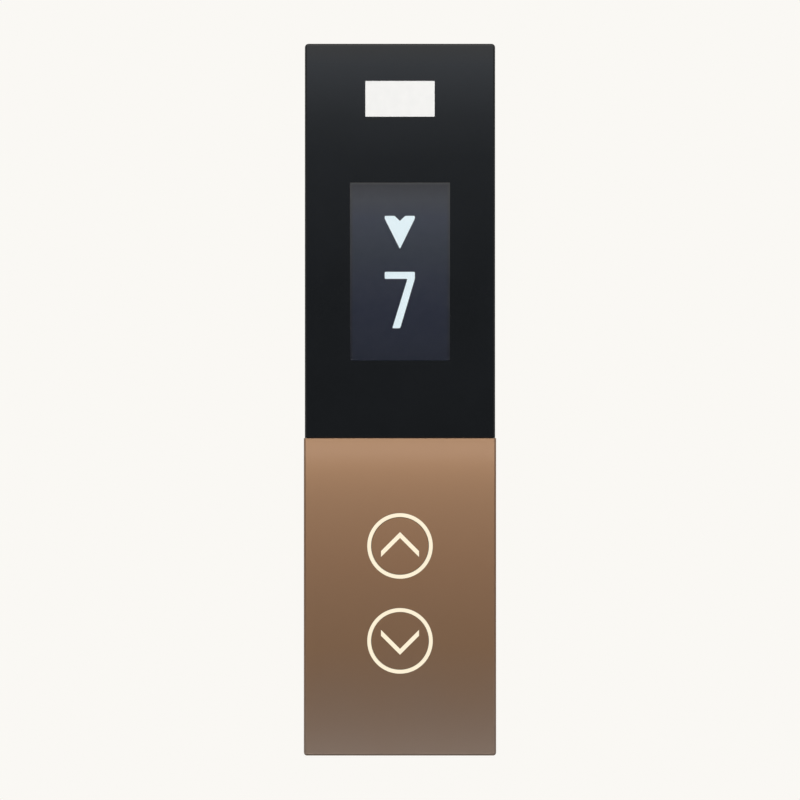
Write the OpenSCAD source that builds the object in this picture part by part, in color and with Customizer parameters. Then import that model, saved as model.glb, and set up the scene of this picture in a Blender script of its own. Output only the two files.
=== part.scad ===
// Landing call station for an elevator: a black glass head with a floor display,
// above a bronze sheet-metal cover with two round call buttons, hung on a wall plate.
// Every piece is drawn as the station lies on its back: x to the right, y up the wall,
// z out of the wall, with z = 0 on the wall. upright() then stands it against the wall.

/* [Panel] */
// Width over the metal cover
panel_w = 103; // [92:1:120]
// Height of the glass head, from the seam to the top of its rim
glass_h = 211; // [190:1:250]
// Height of the metal cover, from its bottom edge to the seam
cover_h = 170; // [153:1:200]
// Depth from the wall to the front faces
panel_d = 20; // [18:0.5:28]
// Radius of the outside corners
corner_r = 2; // [1:0.1:2.5]
// How far the sides of the glass head stay inside those of the cover
head_inset = 0.6; // [0:0.1:1]
// Open line between the glass and the metal cover
seam = 0.2; // [0.1:0.1:0.6]
// Slack between pieces that are put together by hand
fit_gap = 0.3; // [0.2:0.05:0.5]

/* [Glass] */
// Thickness of the front glass
glass_t = 3; // [2.5:0.1:4]
// Flat ground along the front edges of the glass
glass_chamfer = 0.4; // [0.2:0.1:0.8]
// Thickness of the black mask behind the glass
mask_t = 0.2; // [0.1:0.05:0.4]
// Thickness of the bonding tape
tape_t = 0.3; // [0.2:0.05:0.6]
// Width of the bonding tape
tape_w = 6; // [4:0.5:8]
// Thickness of the rim that guards the edge of the glass
rim_t = 0.5; // [0.4:0.1:0.8]
// Gap between the rim and the glass
rim_gap = 0.1; // [0.05:0.05:0.3]
// How far the rim stays behind the face of the glass
rim_drop = 0.5; // [0.2:0.1:1]

/* [Display] */
// Width of the clear window in the mask
view_w = 53.6; // [48:0.1:60]
// Height of the clear window in the mask
view_h = 95.3; // [85:0.1:107]
// Distance from the top of the rim to the window's centre
view_drop = 121.8; // [109:0.1:137]
// Border of the display module beside the window
lcd_side = 6.8; // [6:0.1:8]
// Border of the display module above and below the window
lcd_end = 5.1; // [4.5:0.1:6]
// Thickness of the display module
lcd_t = 3; // [2.6:0.1:3.4]
// Thickness of the module's pressed metal can
can_t = 0.3; // [0.2:0.05:0.4]
// Thickness of the foam gasket between the module and the mask
lcd_gasket_t = 0.8; // [0.5:0.1:1.2]
// Thickness of the pressed bracket that holds the module
bracket_t = 1; // [0.8:0.1:1.2]

/* [Cover] */
// Thickness of the cover's sheet
sheet_t = 1.2; // [1:0.1:1.5]
// Outside radius of the cover's bends
bend_r = 1.5; // [1.2:0.1:2]
// How far the cover's edge stays off the wall
cover_lift = 0.8; // [0.5:0.1:2]
// Depth of the cover's bent edge along the seam
hem_d = 2.8; // [2:0.1:3.2]
// Outside radius of that edge, which is grooved before it is bent
hem_r = 0.3; // [0.2:0.1:1.2]
// Diameter of the studs welded to the cover
stud_d = 3; // [2.5:0.1:3.5]

/* [Buttons] */
// Outside diameter of the light ring
ring_d = 35; // [31.5:0.5:39]
// Width of the light ring seen from the front
ring_w = 2; // [1.6:0.1:2.4]
// How far the light ring stands out of the cover
ring_proud = 0.3; // [0.1:0.1:0.8]
// Distance from the seam to the upper button's centre
button_drop = 57.7; // [52:0.1:65]
// Distance between the two buttons' centres
button_pitch = 50.8; // [46:0.1:57]
// How far a button goes in
travel = 1; // [0.6:0.1:1.3]
// Running gap round the moving cap
cap_gap = 0.25; // [0.15:0.05:0.4]
// Width of the arrow
arrow_w = 20.3; // [16:0.1:23]
// Width of the arrow's strokes
arrow_stroke = 2.2; // [1.6:0.1:2.8]
// Height of the arrow's point above the button's centre
arrow_rise = 7.4; // [6:0.1:8]
// Wire diameter of the return spring
spring_wire = 0.5; // [0.4:0.05:0.6]
// Depth of the button cups on their board
cup_h = 7.3; // [6.6:0.1:8.2]

/* [Boards] */
// Thickness of the circuit boards
board_t = 1.6; // [1.2:0.1:2]
// Diameter of the board screws
screw_d = 3; // [2.5:0.1:3.4]
// Width of the ribbon cable between the boards
ribbon_w = 10; // [8:0.5:11]

/* [Housing] */
// Thickness of the housing's side walls
wall_t = 2.5; // [2:0.1:3]
// Thickness of the housing's front wall
front_t = 2; // [1.8:0.1:2.3]

/* [Wall plate] */
// Thickness of the wall plate's sheet
plate_t = 1.5; // [1.2:0.1:2]
// Distance between the screw slots across the wall
slot_pitch_x = 60; // [54:1:68]
// Distance between the screw slots up the wall
slot_pitch_y = 300; // [260:1:340]
// Width of a screw slot
slot_w = 4.5; // [4:0.1:5.5]
// Length of a screw slot from end to end
slot_l = 9; // [7:0.5:12]
// Width of the two beads pressed into the plate
bead_w = 7; // [5:0.5:9]
// Height of the beads
bead_h = 1; // [0.6:0.1:1.4]
// Width of the cable entry
entry_w = 44; // [36:1:50]
// Height of the cable entry
entry_h = 27; // [20:1:30]

/* [Hidden] */
$fn = 64;
// How far a cut runs past the faces that it opens
over = 1;
// How far the parts of one moulding run into each other
join = 0.5;
// Least radius that is still rounded
least_r = 0.1;

// Heights above the wall, counted down from the front faces
z_front = panel_d;
z_glass = z_front - glass_t;
z_mask = z_glass - mask_t;
z_ledge = z_mask - tape_t;
z_lcd = z_mask - lcd_gasket_t;
z_bracket = z_lcd - lcd_t;
z_standoff = z_bracket - bracket_t;
z_head_wall = z_ledge - front_t;
z_sheet = z_front - sheet_t;
z_core = z_sheet - fit_gap;
z_core_wall = z_core - front_t;
flange_t = 1.6;
z_seat = z_core - flange_t;
cap_h = 3.4;
z_stop = z_front - cap_h;
carrier_t = 1.5;
z_carrier = z_stop - carrier_t;
z_board = z_seat - cup_h;
z_back = z_board - board_t;

// Outline of the panel and of what lies inside it
panel_h = glass_h + cover_h;
half_w = panel_w / 2;
y_top = panel_h / 2;
y_bottom = -panel_h / 2;
y_split = y_bottom + cover_h;
y_cover = y_split - seam / 2;
y_glass = y_split + seam / 2;
head_half = half_w - head_inset;
glass_edge = rim_t + rim_gap;
glass_half = head_half - glass_edge;
glass_top = y_top - glass_edge;
glass_r = max(corner_r - glass_edge, least_r);
pocket_r = max(corner_r - rim_t, least_r);
inner_half = head_half - wall_t;
inner_top = y_top - wall_t;
core_half = half_w - sheet_t - fit_gap;
core_bottom = y_bottom + sheet_t + fit_gap;
core_inner = core_half - wall_t;
core_floor = core_bottom + wall_t;
y_step = y_cover - sheet_t - fit_gap;
y_view = y_top - view_drop;
y_up = y_split - button_drop;
y_down = y_up - button_pitch;
entry_rise = 2.5;
y_entry = y_split + entry_rise;
mask_inset = 0.3;
tape_inset = 0.5;

// Round pieces of a button, as radii
ring_r = ring_d / 2;
ring_soft = 0.15;
hole_gap = 0.15;
bore_r = ring_r - ring_w;
cap_r = bore_r - cap_gap;
cap_wall = 1;
cap_soft = 0.2;
lens_gap = 0.1;
lens_r = cap_r - cap_wall - lens_gap;
stop_w = 0.8;
carrier_r = bore_r + stop_w;
skirt_gap = 0.4;
skirt_wall = 1.5;
skirt_in = carrier_r + skirt_gap;
skirt_out = skirt_in + skirt_wall;
skirt_len = 4.4;
cup_wall = 1.5;
cup_in = skirt_out + fit_gap;
cup_r = cup_in + cup_wall;
cup_room = 0.5;
guide_r = 12.9;
guide_wall = 1.2;
guide_gap = 0.5;
sleeve_wall = 1.4;
sleeve_in = guide_r + fit_gap;
sleeve_out = sleeve_in + sleeve_wall;
sleeve_gap = 0.4;
key_w = 2;
key_out = 1.2;
stem_r = 4;
arrow_gap = 0.05;

// The floor of a cup, its spring and the ears that hold it
floor_hole_r = 8.9;
floor_lift = 1.5;
floor_t = 1.1;
z_floor = z_board + floor_lift;
z_guide = z_floor + travel + guide_gap;
z_sleeve = z_carrier - travel - sleeve_gap;
spring_r = 10;
spoke_w = 5;
ear_out = 3.5;
ear_r = 3;
ear_w = 4;
ear_h = 5.4;
ear_skin = 1;
ear_x = cup_r + ear_out;

// The key switch under each button, and the lights beside it
switch_w = 12;
switch_h = 3.5;
switch_r = 0.5;
plunger_r = 3.4;
plunger_gap = 0.2;
plunger_in = 1.2;
plunger_spare = 0.2;
plunger_out = travel + plunger_spare;
z_switch = z_board + switch_h;
z_plunger = z_switch + plunger_out;
led_count = 8;
led_size = 1.6;
led_h = 0.8;
led_r = (skirt_in + skirt_out) / 2;
side_led_x = 7.3;
side_led_w = 1.2;

// Screws, and the bosses and holes that take them
thread_gap = 0.05;
hole_room = 0.2;
pilot_r = screw_d / 2 + thread_gap;
boss_r = 3.5;
head_r = 2.75;
head_h = 1.8;
drive_w = 0.6;
drive_h = 0.7;
tip_gap = 0.5;
ear_screw_d = 2.4;
ear_head_r = 2.2;

// The display module and its board
lcd_w = view_w + 2 * lcd_side;
lcd_h = view_h + 2 * lcd_end;
lcd_low = y_view - lcd_h / 2;
lcd_r = 1;
lcd_bezel = 0.8;
lcd_play = 0.2;
gasket_inset = 0.5;
gasket_room = 1.5;
bracket_reach = 5;
bracket_inset = 6.7;
bracket_short = 2.7;
bracket_edge = 10;
bracket_r = 2;
bracket_x = lcd_w / 2 + bracket_reach;
bracket_y = lcd_h / 2 - bracket_inset;
bracket_half_h = lcd_h / 2 - bracket_short;
board_r = 2;
board_edge = 4;
display_over = 8;
display_half = bracket_x + board_edge;
display_low = lcd_low - display_over;
display_high = y_view + lcd_h / 2 + display_over;
standoff_d = 6.3;

// The button board, between the step and the floor of the housing
board_gap = 5;
step_room = 14;
floor_room = 10.5;
button_half = core_inner - board_gap;
button_high = y_step - step_room;
button_low = core_floor + floor_room;
boss_x = button_half - board_edge;
boss_rows = [button_high - board_edge, (y_up + y_down) / 2, button_low + board_edge];

// Studs of the cover, and the screws that lock the station to its plate
stud_inset = 4.5;
stud_over = 1;
stud_x = core_inner - stud_inset;
stud_rows = [y_step - front_t - stud_inset, core_floor + stud_inset];
nut_af = stud_d * 11 / 6;
nut_h = 2.4;
lock_x = 28;
lock_d = 4;
lock_head_r = 3.5;
lock_hole_gap = 0.4;
lock_sunk = 0.1;
lock_over = 3;
lock_key = 2.9;
z_lock = 6.5;
flange_half = 38;
flange_h = 12;

// Hooks and beads of the wall plate, and the catches that hang on the hooks
plate_r = 3;
entry_r = 4;
bead_x = 37;
bead_room = 22;
bead_l = slot_pitch_y - 2 * bead_room;
bead_slope = 1;
hook_x = 14;
hook_w = 14;
hook_drop = 20.5;
hook_reach = 4;
hook_up = 6;
hook_play = 0.6;
hook_y = y_top - hook_drop;
window_r = 1;
cheek_t = 2;
rib_t = 1.5;
rib_h = 6;
rib_x = 24;
rib_room = 6;

// Plugs and cables between the boards
rear_room = 1.9;
ribbon_t = 0.9;
ribbon_bow = 2.5;
ribbon_lift = 2.6;
socket_rim = 1.5;
socket_d = 6;
socket_h = z_back - plate_t - rear_room;
socket_w = ribbon_w + 2 * socket_rim;
socket_gap = 0.75;
ribbon_x = boss_x - head_r - socket_gap - socket_w / 2;
socket_top_y = display_low + board_edge + socket_d / 2;
socket_low_y = button_high - socket_d;
z_ribbon = z_back - ribbon_lift;
flex_w = 20;
flex_t = 0.3;
flex_lift = 0.9;
flex_out = 2;
flex_room = 4;
flex_play = 0.05;
plug_rim = 2;
plug_d = 5;
plug_h = 1.7;
plug_bite = 1;
z_flex_in = z_bracket + flex_lift;
z_flex_out = z_board + flex_lift;
flex_end = lcd_low + bracket_inset;

// Chips of the display board: their sizes, and their places from the display's centre
cpu = [16, 16, 1.4];
cpu_at = [-6, 12];
memory = [8, 6, 1];
memory_at = [14, 4];
memory_step = 10;
coil = [8, 8, 3];
coil_at = [-24, -30];
regulator = [5, 4.4, 1.2];
regulator_at = [-12, -30];
filter = [2, 1.2, 0.8];
filter_at = [-16, -6];
tank = [3.2, 1.6, 1.2];
tank_at = [4, -36];
part_step = 5;

// Chips of the button board: their sizes, and their places from a button's centre
controller = [9, 9, 1.2];
controller_at = [-12, 0];
driver = [6, 5, 1.2];
driver_at = [4, 0];
choke_at = [-6, 0];
supply = [6.5, 6, 1.8];
supply_at = [8, -4];
resistor = [1.6, 0.8, 0.6];
resistor_at = [-14, 14];
resistor_step = 4;

// Sounder
buzzer_r = 6;
buzzer_h = 5;
buzzer_inset = 18.5;
buzzer_x = button_half - buzzer_inset;
buzzer_hole_r = 1;

// Terminal block
field_ways = 6;
field_pitch = 3.5;
field_d = 10;
field_wall = 1;
field_room = 1.5;
field_h = z_back - plate_t - field_room;
field_wire = 2.4;
field_inset = 2;
field_screw_r = 1.3;

// Stands a piece that was drawn lying on its back against the wall
module upright() {
    rotate([90, 0, 0]) children();
}

// Centres a piece on the upper button
module at_up() {
    translate([0, y_up, 0]) children();
}

// Centres a piece on the lower button, turned so that its arrow points down
module at_down() {
    translate([0, y_down, 0]) rotate([0, 0, 180]) children();
}

// Repeats a piece at the four corners of the display bracket
module at_bracket() {
    for (sx = [-1, 1], sy = [-1, 1])
        translate([sx * bracket_x, y_view + sy * bracket_y, 0]) children();
}

// Repeats a piece at the screws of the button board
module at_bosses() {
    for (s = [-1, 1], y = boss_rows) translate([s * boss_x, y, 0]) children();
}

// Repeats a piece at the studs of the cover
module at_studs() {
    for (s = [-1, 1], y = stud_rows) translate([s * stud_x, y, 0]) children();
}

// Repeats a piece at the lock screws, turned so that its z axis runs up the wall
module at_locks(y) {
    for (s = [-1, 1]) translate([s * lock_x, y, z_lock]) rotate([-90, 0, 0]) children();
}

// A box between two corners
module span(low, high) {
    translate(low) cube(high - low);
}

// A rectangle with round corners, about its centre
module rounded_rect(w, h, r) {
    square([w - 2 * r, h], center = true);
    square([w, h - 2 * r], center = true);
    for (sx = [-1, 1], sy = [-1, 1])
        translate([sx * (w / 2 - r), sy * (h / 2 - r)]) circle(r);
}

// A slab with round corners between two heights, about x = 0
module rounded_slab(half, low, high, z0, z1, r) {
    translate([0, (low + high) / 2, z0])
        linear_extrude(z1 - z0) rounded_rect(2 * half, high - low, r);
}

// A flat frame between two rectangles, about a centre on the y axis
module flat_frame(y, z, t, outer, inner) {
    translate([0, y, z]) linear_extrude(t) difference() {
        square(outer, center = true);
        square(inner, center = true);
    }
}

// A round slot along x, about its centre
module slot(l, w) {
    square([l - w, w], center = true);
    for (s = [-1, 1]) translate([s * (l - w) / 2, 0]) circle(d = w);
}

// A round post or hole from one height to another
module post(z0, z1, r) {
    translate([0, 0, z0]) cylinder(r = r, h = z1 - z0);
}

// A tube from one height to another
module tube(z0, z1, r_in, r_out) {
    translate([0, 0, z0]) linear_extrude(z1 - z0) difference() {
        circle(r_out);
        circle(r_in);
    }
}

// A chip on the back of a board, at a place from some centre on the y axis
module back_chip(y, at, size) {
    translate([at[0] - size[0] / 2, y + at[1] - size[1] / 2, z_back - size[2]]) cube(size);
}

// A pan-head screw with a cross recess, driven from the back of a board
module back_screw(d, r_head, z_tip) {
    z0 = z_back - head_h;
    difference() {
        union() {
            post(z0, z_back, r_head);
            post(z0 + head_h / 2, z_tip, d / 2);
        }
        for (turn = [0, 90])
            translate([0, 0, z0]) rotate([0, 0, turn]) cube([r_head, drive_w, 2 * drive_h], center = true);
    }
}

// Wall plate: sheet steel stiffened by two beads, screwed to the wall first, with two hooks
module wall_plate() {
    low = core_floor + fit_gap;
    color("silver") difference() {
        union() {
            rounded_slab(core_inner - fit_gap, low, inner_top - fit_gap, 0, plate_t, plate_r);
            span([-flange_half, low, 0], [flange_half, low + plate_t, flange_h]);
            for (s = [-1, 1]) translate([s * hook_x, hook_y, 0]) plate_hook();
            for (s = [-1, 1]) translate([s * bead_x, 0, 0])
                bead(bead_l, bead_w / 2, plate_t - join, plate_t + bead_h);
        }
        for (s = [-1, 1]) translate([s * bead_x, 0, 0])
            bead(bead_l - plate_t, (bead_w - plate_t) / 2, -over, bead_h);
        for (sx = [-1, 1], sy = [-1, 1])
            translate([sx * slot_pitch_x / 2, sy * slot_pitch_y / 2, 0]) plate_cut() slot(slot_l, slot_w);
        translate([0, y_entry, 0]) plate_cut() rounded_rect(entry_w, entry_h, entry_r);
        for (s = [-1, 1]) translate([s * hook_x, hook_y + plate_t + hook_up / 2, 0])
            plate_cut() rounded_rect(hook_w + 2 * fit_gap, hook_up, window_r);
        at_locks(low - over) cylinder(r = lock_d / 2 + thread_gap, h = plate_t + 2 * over);
    }
}

// A cut of some outline right through the plate
module plate_cut() {
    translate([0, 0, -over]) linear_extrude(plate_t + 2 * over) children();
}

// A bead along the plate between two heights, with sloping sides and round ends
module bead(l, foot, z0, z1) {
    crest = foot - bead_slope;
    run = l - 2 * foot;
    translate([0, run / 2, z0]) rotate([90, 0, 0]) linear_extrude(run)
        polygon([[-foot, 0], [foot, 0], [crest, z1 - z0], [-crest, z1 - z0]]);
    for (s = [-1, 1]) translate([0, s * run / 2, z0]) cylinder(r1 = foot, r2 = crest, h = z1 - z0);
}

// One hook, lanced out of the plate and bent forward and up
module plate_hook() {
    half = hook_w / 2 - fit_gap;
    tip = plate_t + hook_reach;
    span([-half, 0, plate_t / 2], [half, plate_t, tip + plate_t]);
    span([-half, 0, tip], [half, hook_up, tip + plate_t]);
}

// Housing: one black moulding that carries the glass, the boards and the cover
module housing() {
    color("dimgray") difference() {
        union() {
            housing_shell();
            at_bracket() post(z_bracket, z_head_wall + join, boss_r);
            at_bosses() post(z_board, z_core_wall + join, boss_r);
            housing_ribs();
            hook_catches();
        }
        housing_holes();
    }
}

// The walls: wide round the glass, narrower where the cover wraps round them
module housing_shell() {
    rim_top = z_front - rim_drop;
    head_floor = y_glass + wall_t;
    past_seam = y_glass - 4 * corner_r;
    difference() {
        union() {
            intersection() {
                rounded_slab(head_half, past_seam, y_top, 0, rim_top, corner_r);
                span([-head_half, y_glass, 0], [head_half, y_top, rim_top]);
            }
            span([-core_half, core_bottom, 0], [core_half, y_step, z_core]);
            span([-core_half, y_step - join, 0], [core_half, y_glass + join, z_ledge]);
        }
        intersection() {
            rounded_slab(head_half - rim_t, past_seam, y_top - rim_t, z_ledge, z_front, pocket_r);
            span([-head_half, y_step, z_ledge], [head_half, y_top, z_front]);
        }
        span([-inner_half, head_floor, -over], [inner_half, inner_top, z_head_wall]);
        span([-core_inner, y_step - front_t - join, -over], [core_inner, head_floor + join, z_head_wall]);
        span([-core_inner, core_floor, -over], [core_inner, y_step - front_t, z_core_wall]);
    }
}

// Ribs that stiffen the front wall above the display
module housing_ribs() {
    low = display_high + rib_room;
    high = hook_y - rib_room;
    z0 = z_head_wall - rib_h;
    z1 = z_head_wall + join;
    for (x = [-rib_x, 0, rib_x]) span([x - rib_t / 2, low, z0], [x + rib_t / 2, high, z1]);
    for (y = [low, (low + high) / 2, high])
        span([-inner_half - join, y - rib_t / 2, z0], [inner_half + join, y + rib_t / 2, z1]);
}

// Tabs between cheeks, which hang behind the wall plate's hooks
module hook_catches() {
    half = hook_w / 2;
    low = hook_y + plate_t;
    high = inner_top + join;
    z0 = plate_t + hook_play;
    for (s = [-1, 1]) translate([s * hook_x, 0, 0]) {
        span([-half - join, low, z0], [half + join, high, plate_t + hook_reach - hook_play]);
        for (e = [-1, 1]) translate([e * (half + cheek_t / 2), 0, 0])
            span([-cheek_t / 2, low, z0], [cheek_t / 2, high, z_head_wall + join]);
    }
}

// Openings for the display, the rings, the studs and the screws
module housing_holes() {
    translate([0, y_view, z_head_wall - over]) linear_extrude(front_t + 2 * over)
        square([lcd_w + 2 * fit_gap, lcd_h + 2 * fit_gap], center = true);
    for (y = [y_up, y_down]) translate([0, y, 0])
        post(z_core_wall - over, z_core + over, cup_r + cup_room);
    at_studs() post(z_core_wall - over, z_core + over, stud_d / 2 + fit_gap);
    at_bracket() post(z_bracket - over, z_ledge - tip_gap, pilot_r);
    at_bosses() post(z_board - over, z_core_wall + join, pilot_r);
    at_locks(core_bottom - over) cylinder(r = lock_d / 2 + fit_gap, h = wall_t + 2 * over);
}

// Front glass: clear toughened glass with ground edges, bonded into the rim
module front_glass() {
    h = glass_top - y_glass;
    color("black", 0.6) intersection() {
        rounded_slab(glass_half, y_glass, glass_top, z_glass, z_front, glass_r);
        translate([0, glass_top, z_glass]) rotate([90, 0, 0])
            linear_extrude(h) ground_section(2 * glass_half);
        translate([-glass_half, (y_glass + glass_top) / 2, z_glass]) rotate([90, 0, 90])
            linear_extrude(2 * glass_half) ground_section(h);
    }
}

// Section across the glass, with its two front corners ground flat
module ground_section(w) {
    c = glass_chamfer;
    polygon([[-w / 2, 0], [w / 2, 0], [w / 2, glass_t - c], [w / 2 - c, glass_t],
             [c - w / 2, glass_t], [-w / 2, glass_t - c]]);
}

// Black mask on the back of the glass, clear over the display
module glass_mask() {
    color("black") difference() {
        rounded_slab(glass_half - mask_inset, y_glass + mask_inset, glass_top - mask_inset,
                     z_mask, z_glass, glass_r);
        translate([0, y_view, z_mask - over]) linear_extrude(mask_t + 2 * over)
            square([view_w, view_h], center = true);
    }
}

// Double-sided tape that bonds the glass to the housing all round
module glass_tape() {
    outer = [2 * (glass_half - tape_inset), glass_top - y_glass - 2 * tape_inset];
    color("darkslategray") flat_frame((y_glass + glass_top) / 2, z_ledge, tape_t, outer,
                                      outer - [2 * tape_w, 2 * tape_w]);
}

// Foam gasket that keeps dust out between the mask and the display
module lcd_gasket() {
    color("gray") flat_frame(y_view, z_lcd, lcd_gasket_t,
                             [lcd_w - 2 * gasket_inset, lcd_h - 2 * gasket_inset],
                             [view_w + 2 * gasket_room, view_h + 2 * gasket_room]);
}

// Pressed metal can of the display module, with its window
module lcd_can() {
    color("lightgray") translate([0, y_view, z_bracket]) difference() {
        linear_extrude(lcd_t) rounded_rect(lcd_w, lcd_h, lcd_r);
        translate([0, 0, can_t]) linear_extrude(lcd_t - 2 * can_t)
            square([lcd_w - 2 * can_t, lcd_h - 2 * can_t], center = true);
        translate([0, 0, can_t]) linear_extrude(lcd_t)
            square([view_w + 2 * lcd_bezel, view_h + 2 * lcd_bezel], center = true);
    }
}

// Liquid-crystal cell, behind the window of the can
module lcd_cell() {
    t = (lcd_t - 2 * can_t) / 2;
    color("midnightblue") lcd_layer(z_lcd - can_t - t, t);
}

// Backlight, between the cell and the back of the can
module lcd_backlight() {
    color("white") lcd_layer(z_bracket + can_t, (lcd_t - 2 * can_t) / 2);
}

// One layer inside the can
module lcd_layer(z, t) {
    side = 2 * (can_t + lcd_play);
    translate([0, y_view, z]) linear_extrude(t) square([lcd_w - side, lcd_h - side], center = true);
}

// Pressed bracket that holds the module against the glass, notched for the flexible lead
module lcd_bracket() {
    low = y_view - bracket_half_h;
    notch = flex_w / 2 + flex_room;
    color("silver") difference() {
        union() {
            translate([0, y_view, z_standoff]) linear_extrude(bracket_t)
                rounded_rect(lcd_w, 2 * bracket_half_h, bracket_r);
            for (s = [-1, 1]) translate([0, y_view + s * bracket_y, z_standoff]) linear_extrude(bracket_t)
                rounded_rect(2 * (bracket_x + board_edge), 2 * board_edge, bracket_r);
        }
        translate([0, y_view, z_standoff - over]) linear_extrude(bracket_t + 2 * over)
            rounded_rect(lcd_w - 2 * bracket_edge, 2 * (bracket_half_h - bracket_edge), 2 * bracket_r);
        span([-notch, low - 2 * over, z_standoff - over],
             [notch, low + bracket_edge + over, z_bracket + over]);
        at_bracket() post(z_standoff - over, z_bracket + over, screw_d / 2 + hole_room);
    }
}

// Flat flexible lead of the display, folded back to its board
module lcd_flex() {
    bend = (z_flex_in - z_flex_out) / 2;
    y_bend = lcd_low - flex_out;
    half = flex_w / 2;
    color("orange") {
        span([-half, y_bend, z_flex_in - flex_t / 2], [half, lcd_low, z_flex_in + flex_t / 2]);
        translate([-half, y_bend, z_flex_out + bend]) rotate([90, 0, 90])
            rotate([0, 0, 90]) rotate_extrude(angle = 180)
                translate([bend - flex_t / 2, 0]) square([flex_t, flex_w]);
        span([-half, y_bend, z_flex_out - flex_t / 2], [half, flex_end, z_flex_out + flex_t / 2]);
    }
}

// Connector that takes the flexible lead
module flex_connector() {
    half = flex_w / 2;
    mouth = flex_t / 2 + flex_play;
    y0 = flex_end - plug_bite;
    color("ivory") difference() {
        span([-half - plug_rim, y0, z_board], [half + plug_rim, y0 + plug_d, z_board + plug_h]);
        span([-half - flex_play, y0 - over, z_flex_out - mouth],
             [half + flex_play, flex_end + flex_play, z_flex_out + mouth]);
    }
}

// Circuit board behind the display
module display_board() {
    color("darkgreen") difference() {
        rounded_slab(display_half, display_low, display_high, z_back, z_board, board_r);
        at_bracket() post(z_back - over, z_board + over, screw_d / 2 + hole_room);
    }
}

// Chips on the display board: processor, memory, choke, regulator and capacitors
module display_chips() {
    color("black") {
        back_chip(y_view, cpu_at, cpu);
        for (i = [0, 1]) back_chip(y_view, memory_at + [0, i * memory_step], memory);
        back_chip(y_view, coil_at, coil);
        back_chip(y_view, regulator_at, regulator);
        for (i = [0:5]) back_chip(y_view, filter_at + [i * part_step, 0], filter);
        for (i = [0:3]) back_chip(y_view, tank_at + [i * part_step, 0], tank);
    }
}

// Brass standoffs between the bracket and the display board, each with a stud for its boss
module standoffs() {
    color("goldenrod") at_bracket() difference() {
        union() {
            translate([0, 0, z_board]) cylinder(d = standoff_d, h = z_standoff - z_board, $fn = 6);
            post(z_standoff - join, z_ledge - 2 * tip_gap, screw_d / 2);
        }
        post(z_board - over, z_standoff - tip_gap / 2, pilot_r);
    }
}

// Screws that hold the display board on its standoffs
module display_screws() {
    color("gainsboro") at_bracket() back_screw(screw_d, head_r, z_standoff - tip_gap);
}

// Face cover: bronze sheet folded on all four sides, with two round holes
module face_cover() {
    color("#8a6548") difference() {
        folded_box(half_w, y_bottom, y_cover, cover_lift, z_front, bend_r, hem_r, corner_r);
        folded_box(half_w - sheet_t, y_bottom + sheet_t, y_cover - sheet_t, -over, z_sheet,
                   max(bend_r - sheet_t, least_r), max(hem_r - sheet_t, least_r),
                   max(corner_r - sheet_t, least_r));
        span([sheet_t - half_w, y_cover - sheet_t - join, -over],
             [half_w - sheet_t, y_cover + over, z_front - hem_d]);
        for (y = [y_up, y_down]) translate([0, y, 0])
            post(z_sheet - over, z_front + over, ring_r + hole_gap);
        at_locks(y_bottom - over) cylinder(r = lock_head_r + lock_hole_gap, h = sheet_t + 2 * over);
    }
}

// A box with bent front edges, the upper one with its own radius, and round corners at its lower end
module folded_box(half, low, high, z0, z1, bend, hem, corner) {
    depth = z1 - z0 + 4 * bend;
    intersection() {
        span([-half, low, z0], [half, high, z1]);
        rounded_slab(half, low, high + 4 * corner, z0, z1, corner);
        translate([0, high, z1 - depth / 2]) rotate([90, 0, 0])
            linear_extrude(high - low) rounded_rect(2 * half, depth, bend);
        bent_ends(half, low, high + 4 * bend, z1, depth, bend);
        bent_ends(half, low - 4 * hem, high, z1, depth, hem);
    }
}

// A box whose two ends bend back from its front, each with the same radius
module bent_ends(half, low, high, z1, depth, r) {
    translate([-half, (low + high) / 2, z1 - depth / 2]) rotate([90, 0, 90])
        linear_extrude(2 * half) rounded_rect(high - low, depth, r);
}

// Threaded studs welded to the back of the cover
module cover_studs() {
    color("silver") at_studs() post(z_core_wall - nut_h - stud_over, z_sheet, stud_d / 2);
}

// Nuts that draw the cover on to the housing
module cover_nuts() {
    z0 = z_core_wall - nut_h;
    color("gainsboro") at_studs() difference() {
        translate([0, 0, z0]) cylinder(d = nut_af / cos(30), h = nut_h, $fn = 6);
        post(z0 - over, z_core_wall + over, stud_d / 2 + thread_gap);
    }
}

// Low-head socket screws that lock the housing to the wall plate from below
module lock_screws() {
    y0 = y_bottom + lock_sunk;
    head = core_bottom - y0;
    tip = core_floor + fit_gap + plate_t + lock_over - y0;
    color("gainsboro") at_locks(y0) difference() {
        union() {
            cylinder(r = lock_head_r, h = head);
            post(head / 2, tip, lock_d / 2);
        }
        translate([0, 0, -over]) cylinder(d = lock_key, h = over + 2 * head / 3, $fn = 6);
    }
}

// Circuit board behind the two buttons
module button_board() {
    color("darkgreen") difference() {
        rounded_slab(button_half, button_low, button_high, z_back, z_board, board_r);
        at_bosses() post(z_back - over, z_board + over, screw_d / 2 + hole_room);
        for (s = [-1, 1], y = [y_up, y_down]) translate([s * ear_x, y, 0])
            post(z_back - over, z_board + over, ear_screw_d / 2 + hole_room);
    }
}

// Chips on the button board: controller, bus driver, choke, regulator and resistors
module button_chips() {
    color("black") {
        back_chip(y_up, controller_at, controller);
        back_chip(y_up, driver_at, driver);
        back_chip(y_down, choke_at, coil);
        back_chip(y_down, supply_at, supply);
        for (i = [0:7]) {
            along = resistor_at[0] + i * resistor_step;
            back_chip(y_up, [along, -resistor_at[1]], resistor);
            back_chip(y_down, [along, resistor_at[1]], resistor);
        }
    }
}

// Sounder that confirms a call
module buzzer() {
    color("black") translate([buzzer_x, button_low + board_edge + buzzer_r, 0]) difference() {
        post(z_board, z_board + buzzer_h, buzzer_r);
        post(z_board + buzzer_h / 2, z_board + buzzer_h + over, buzzer_hole_r);
    }
}

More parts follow.
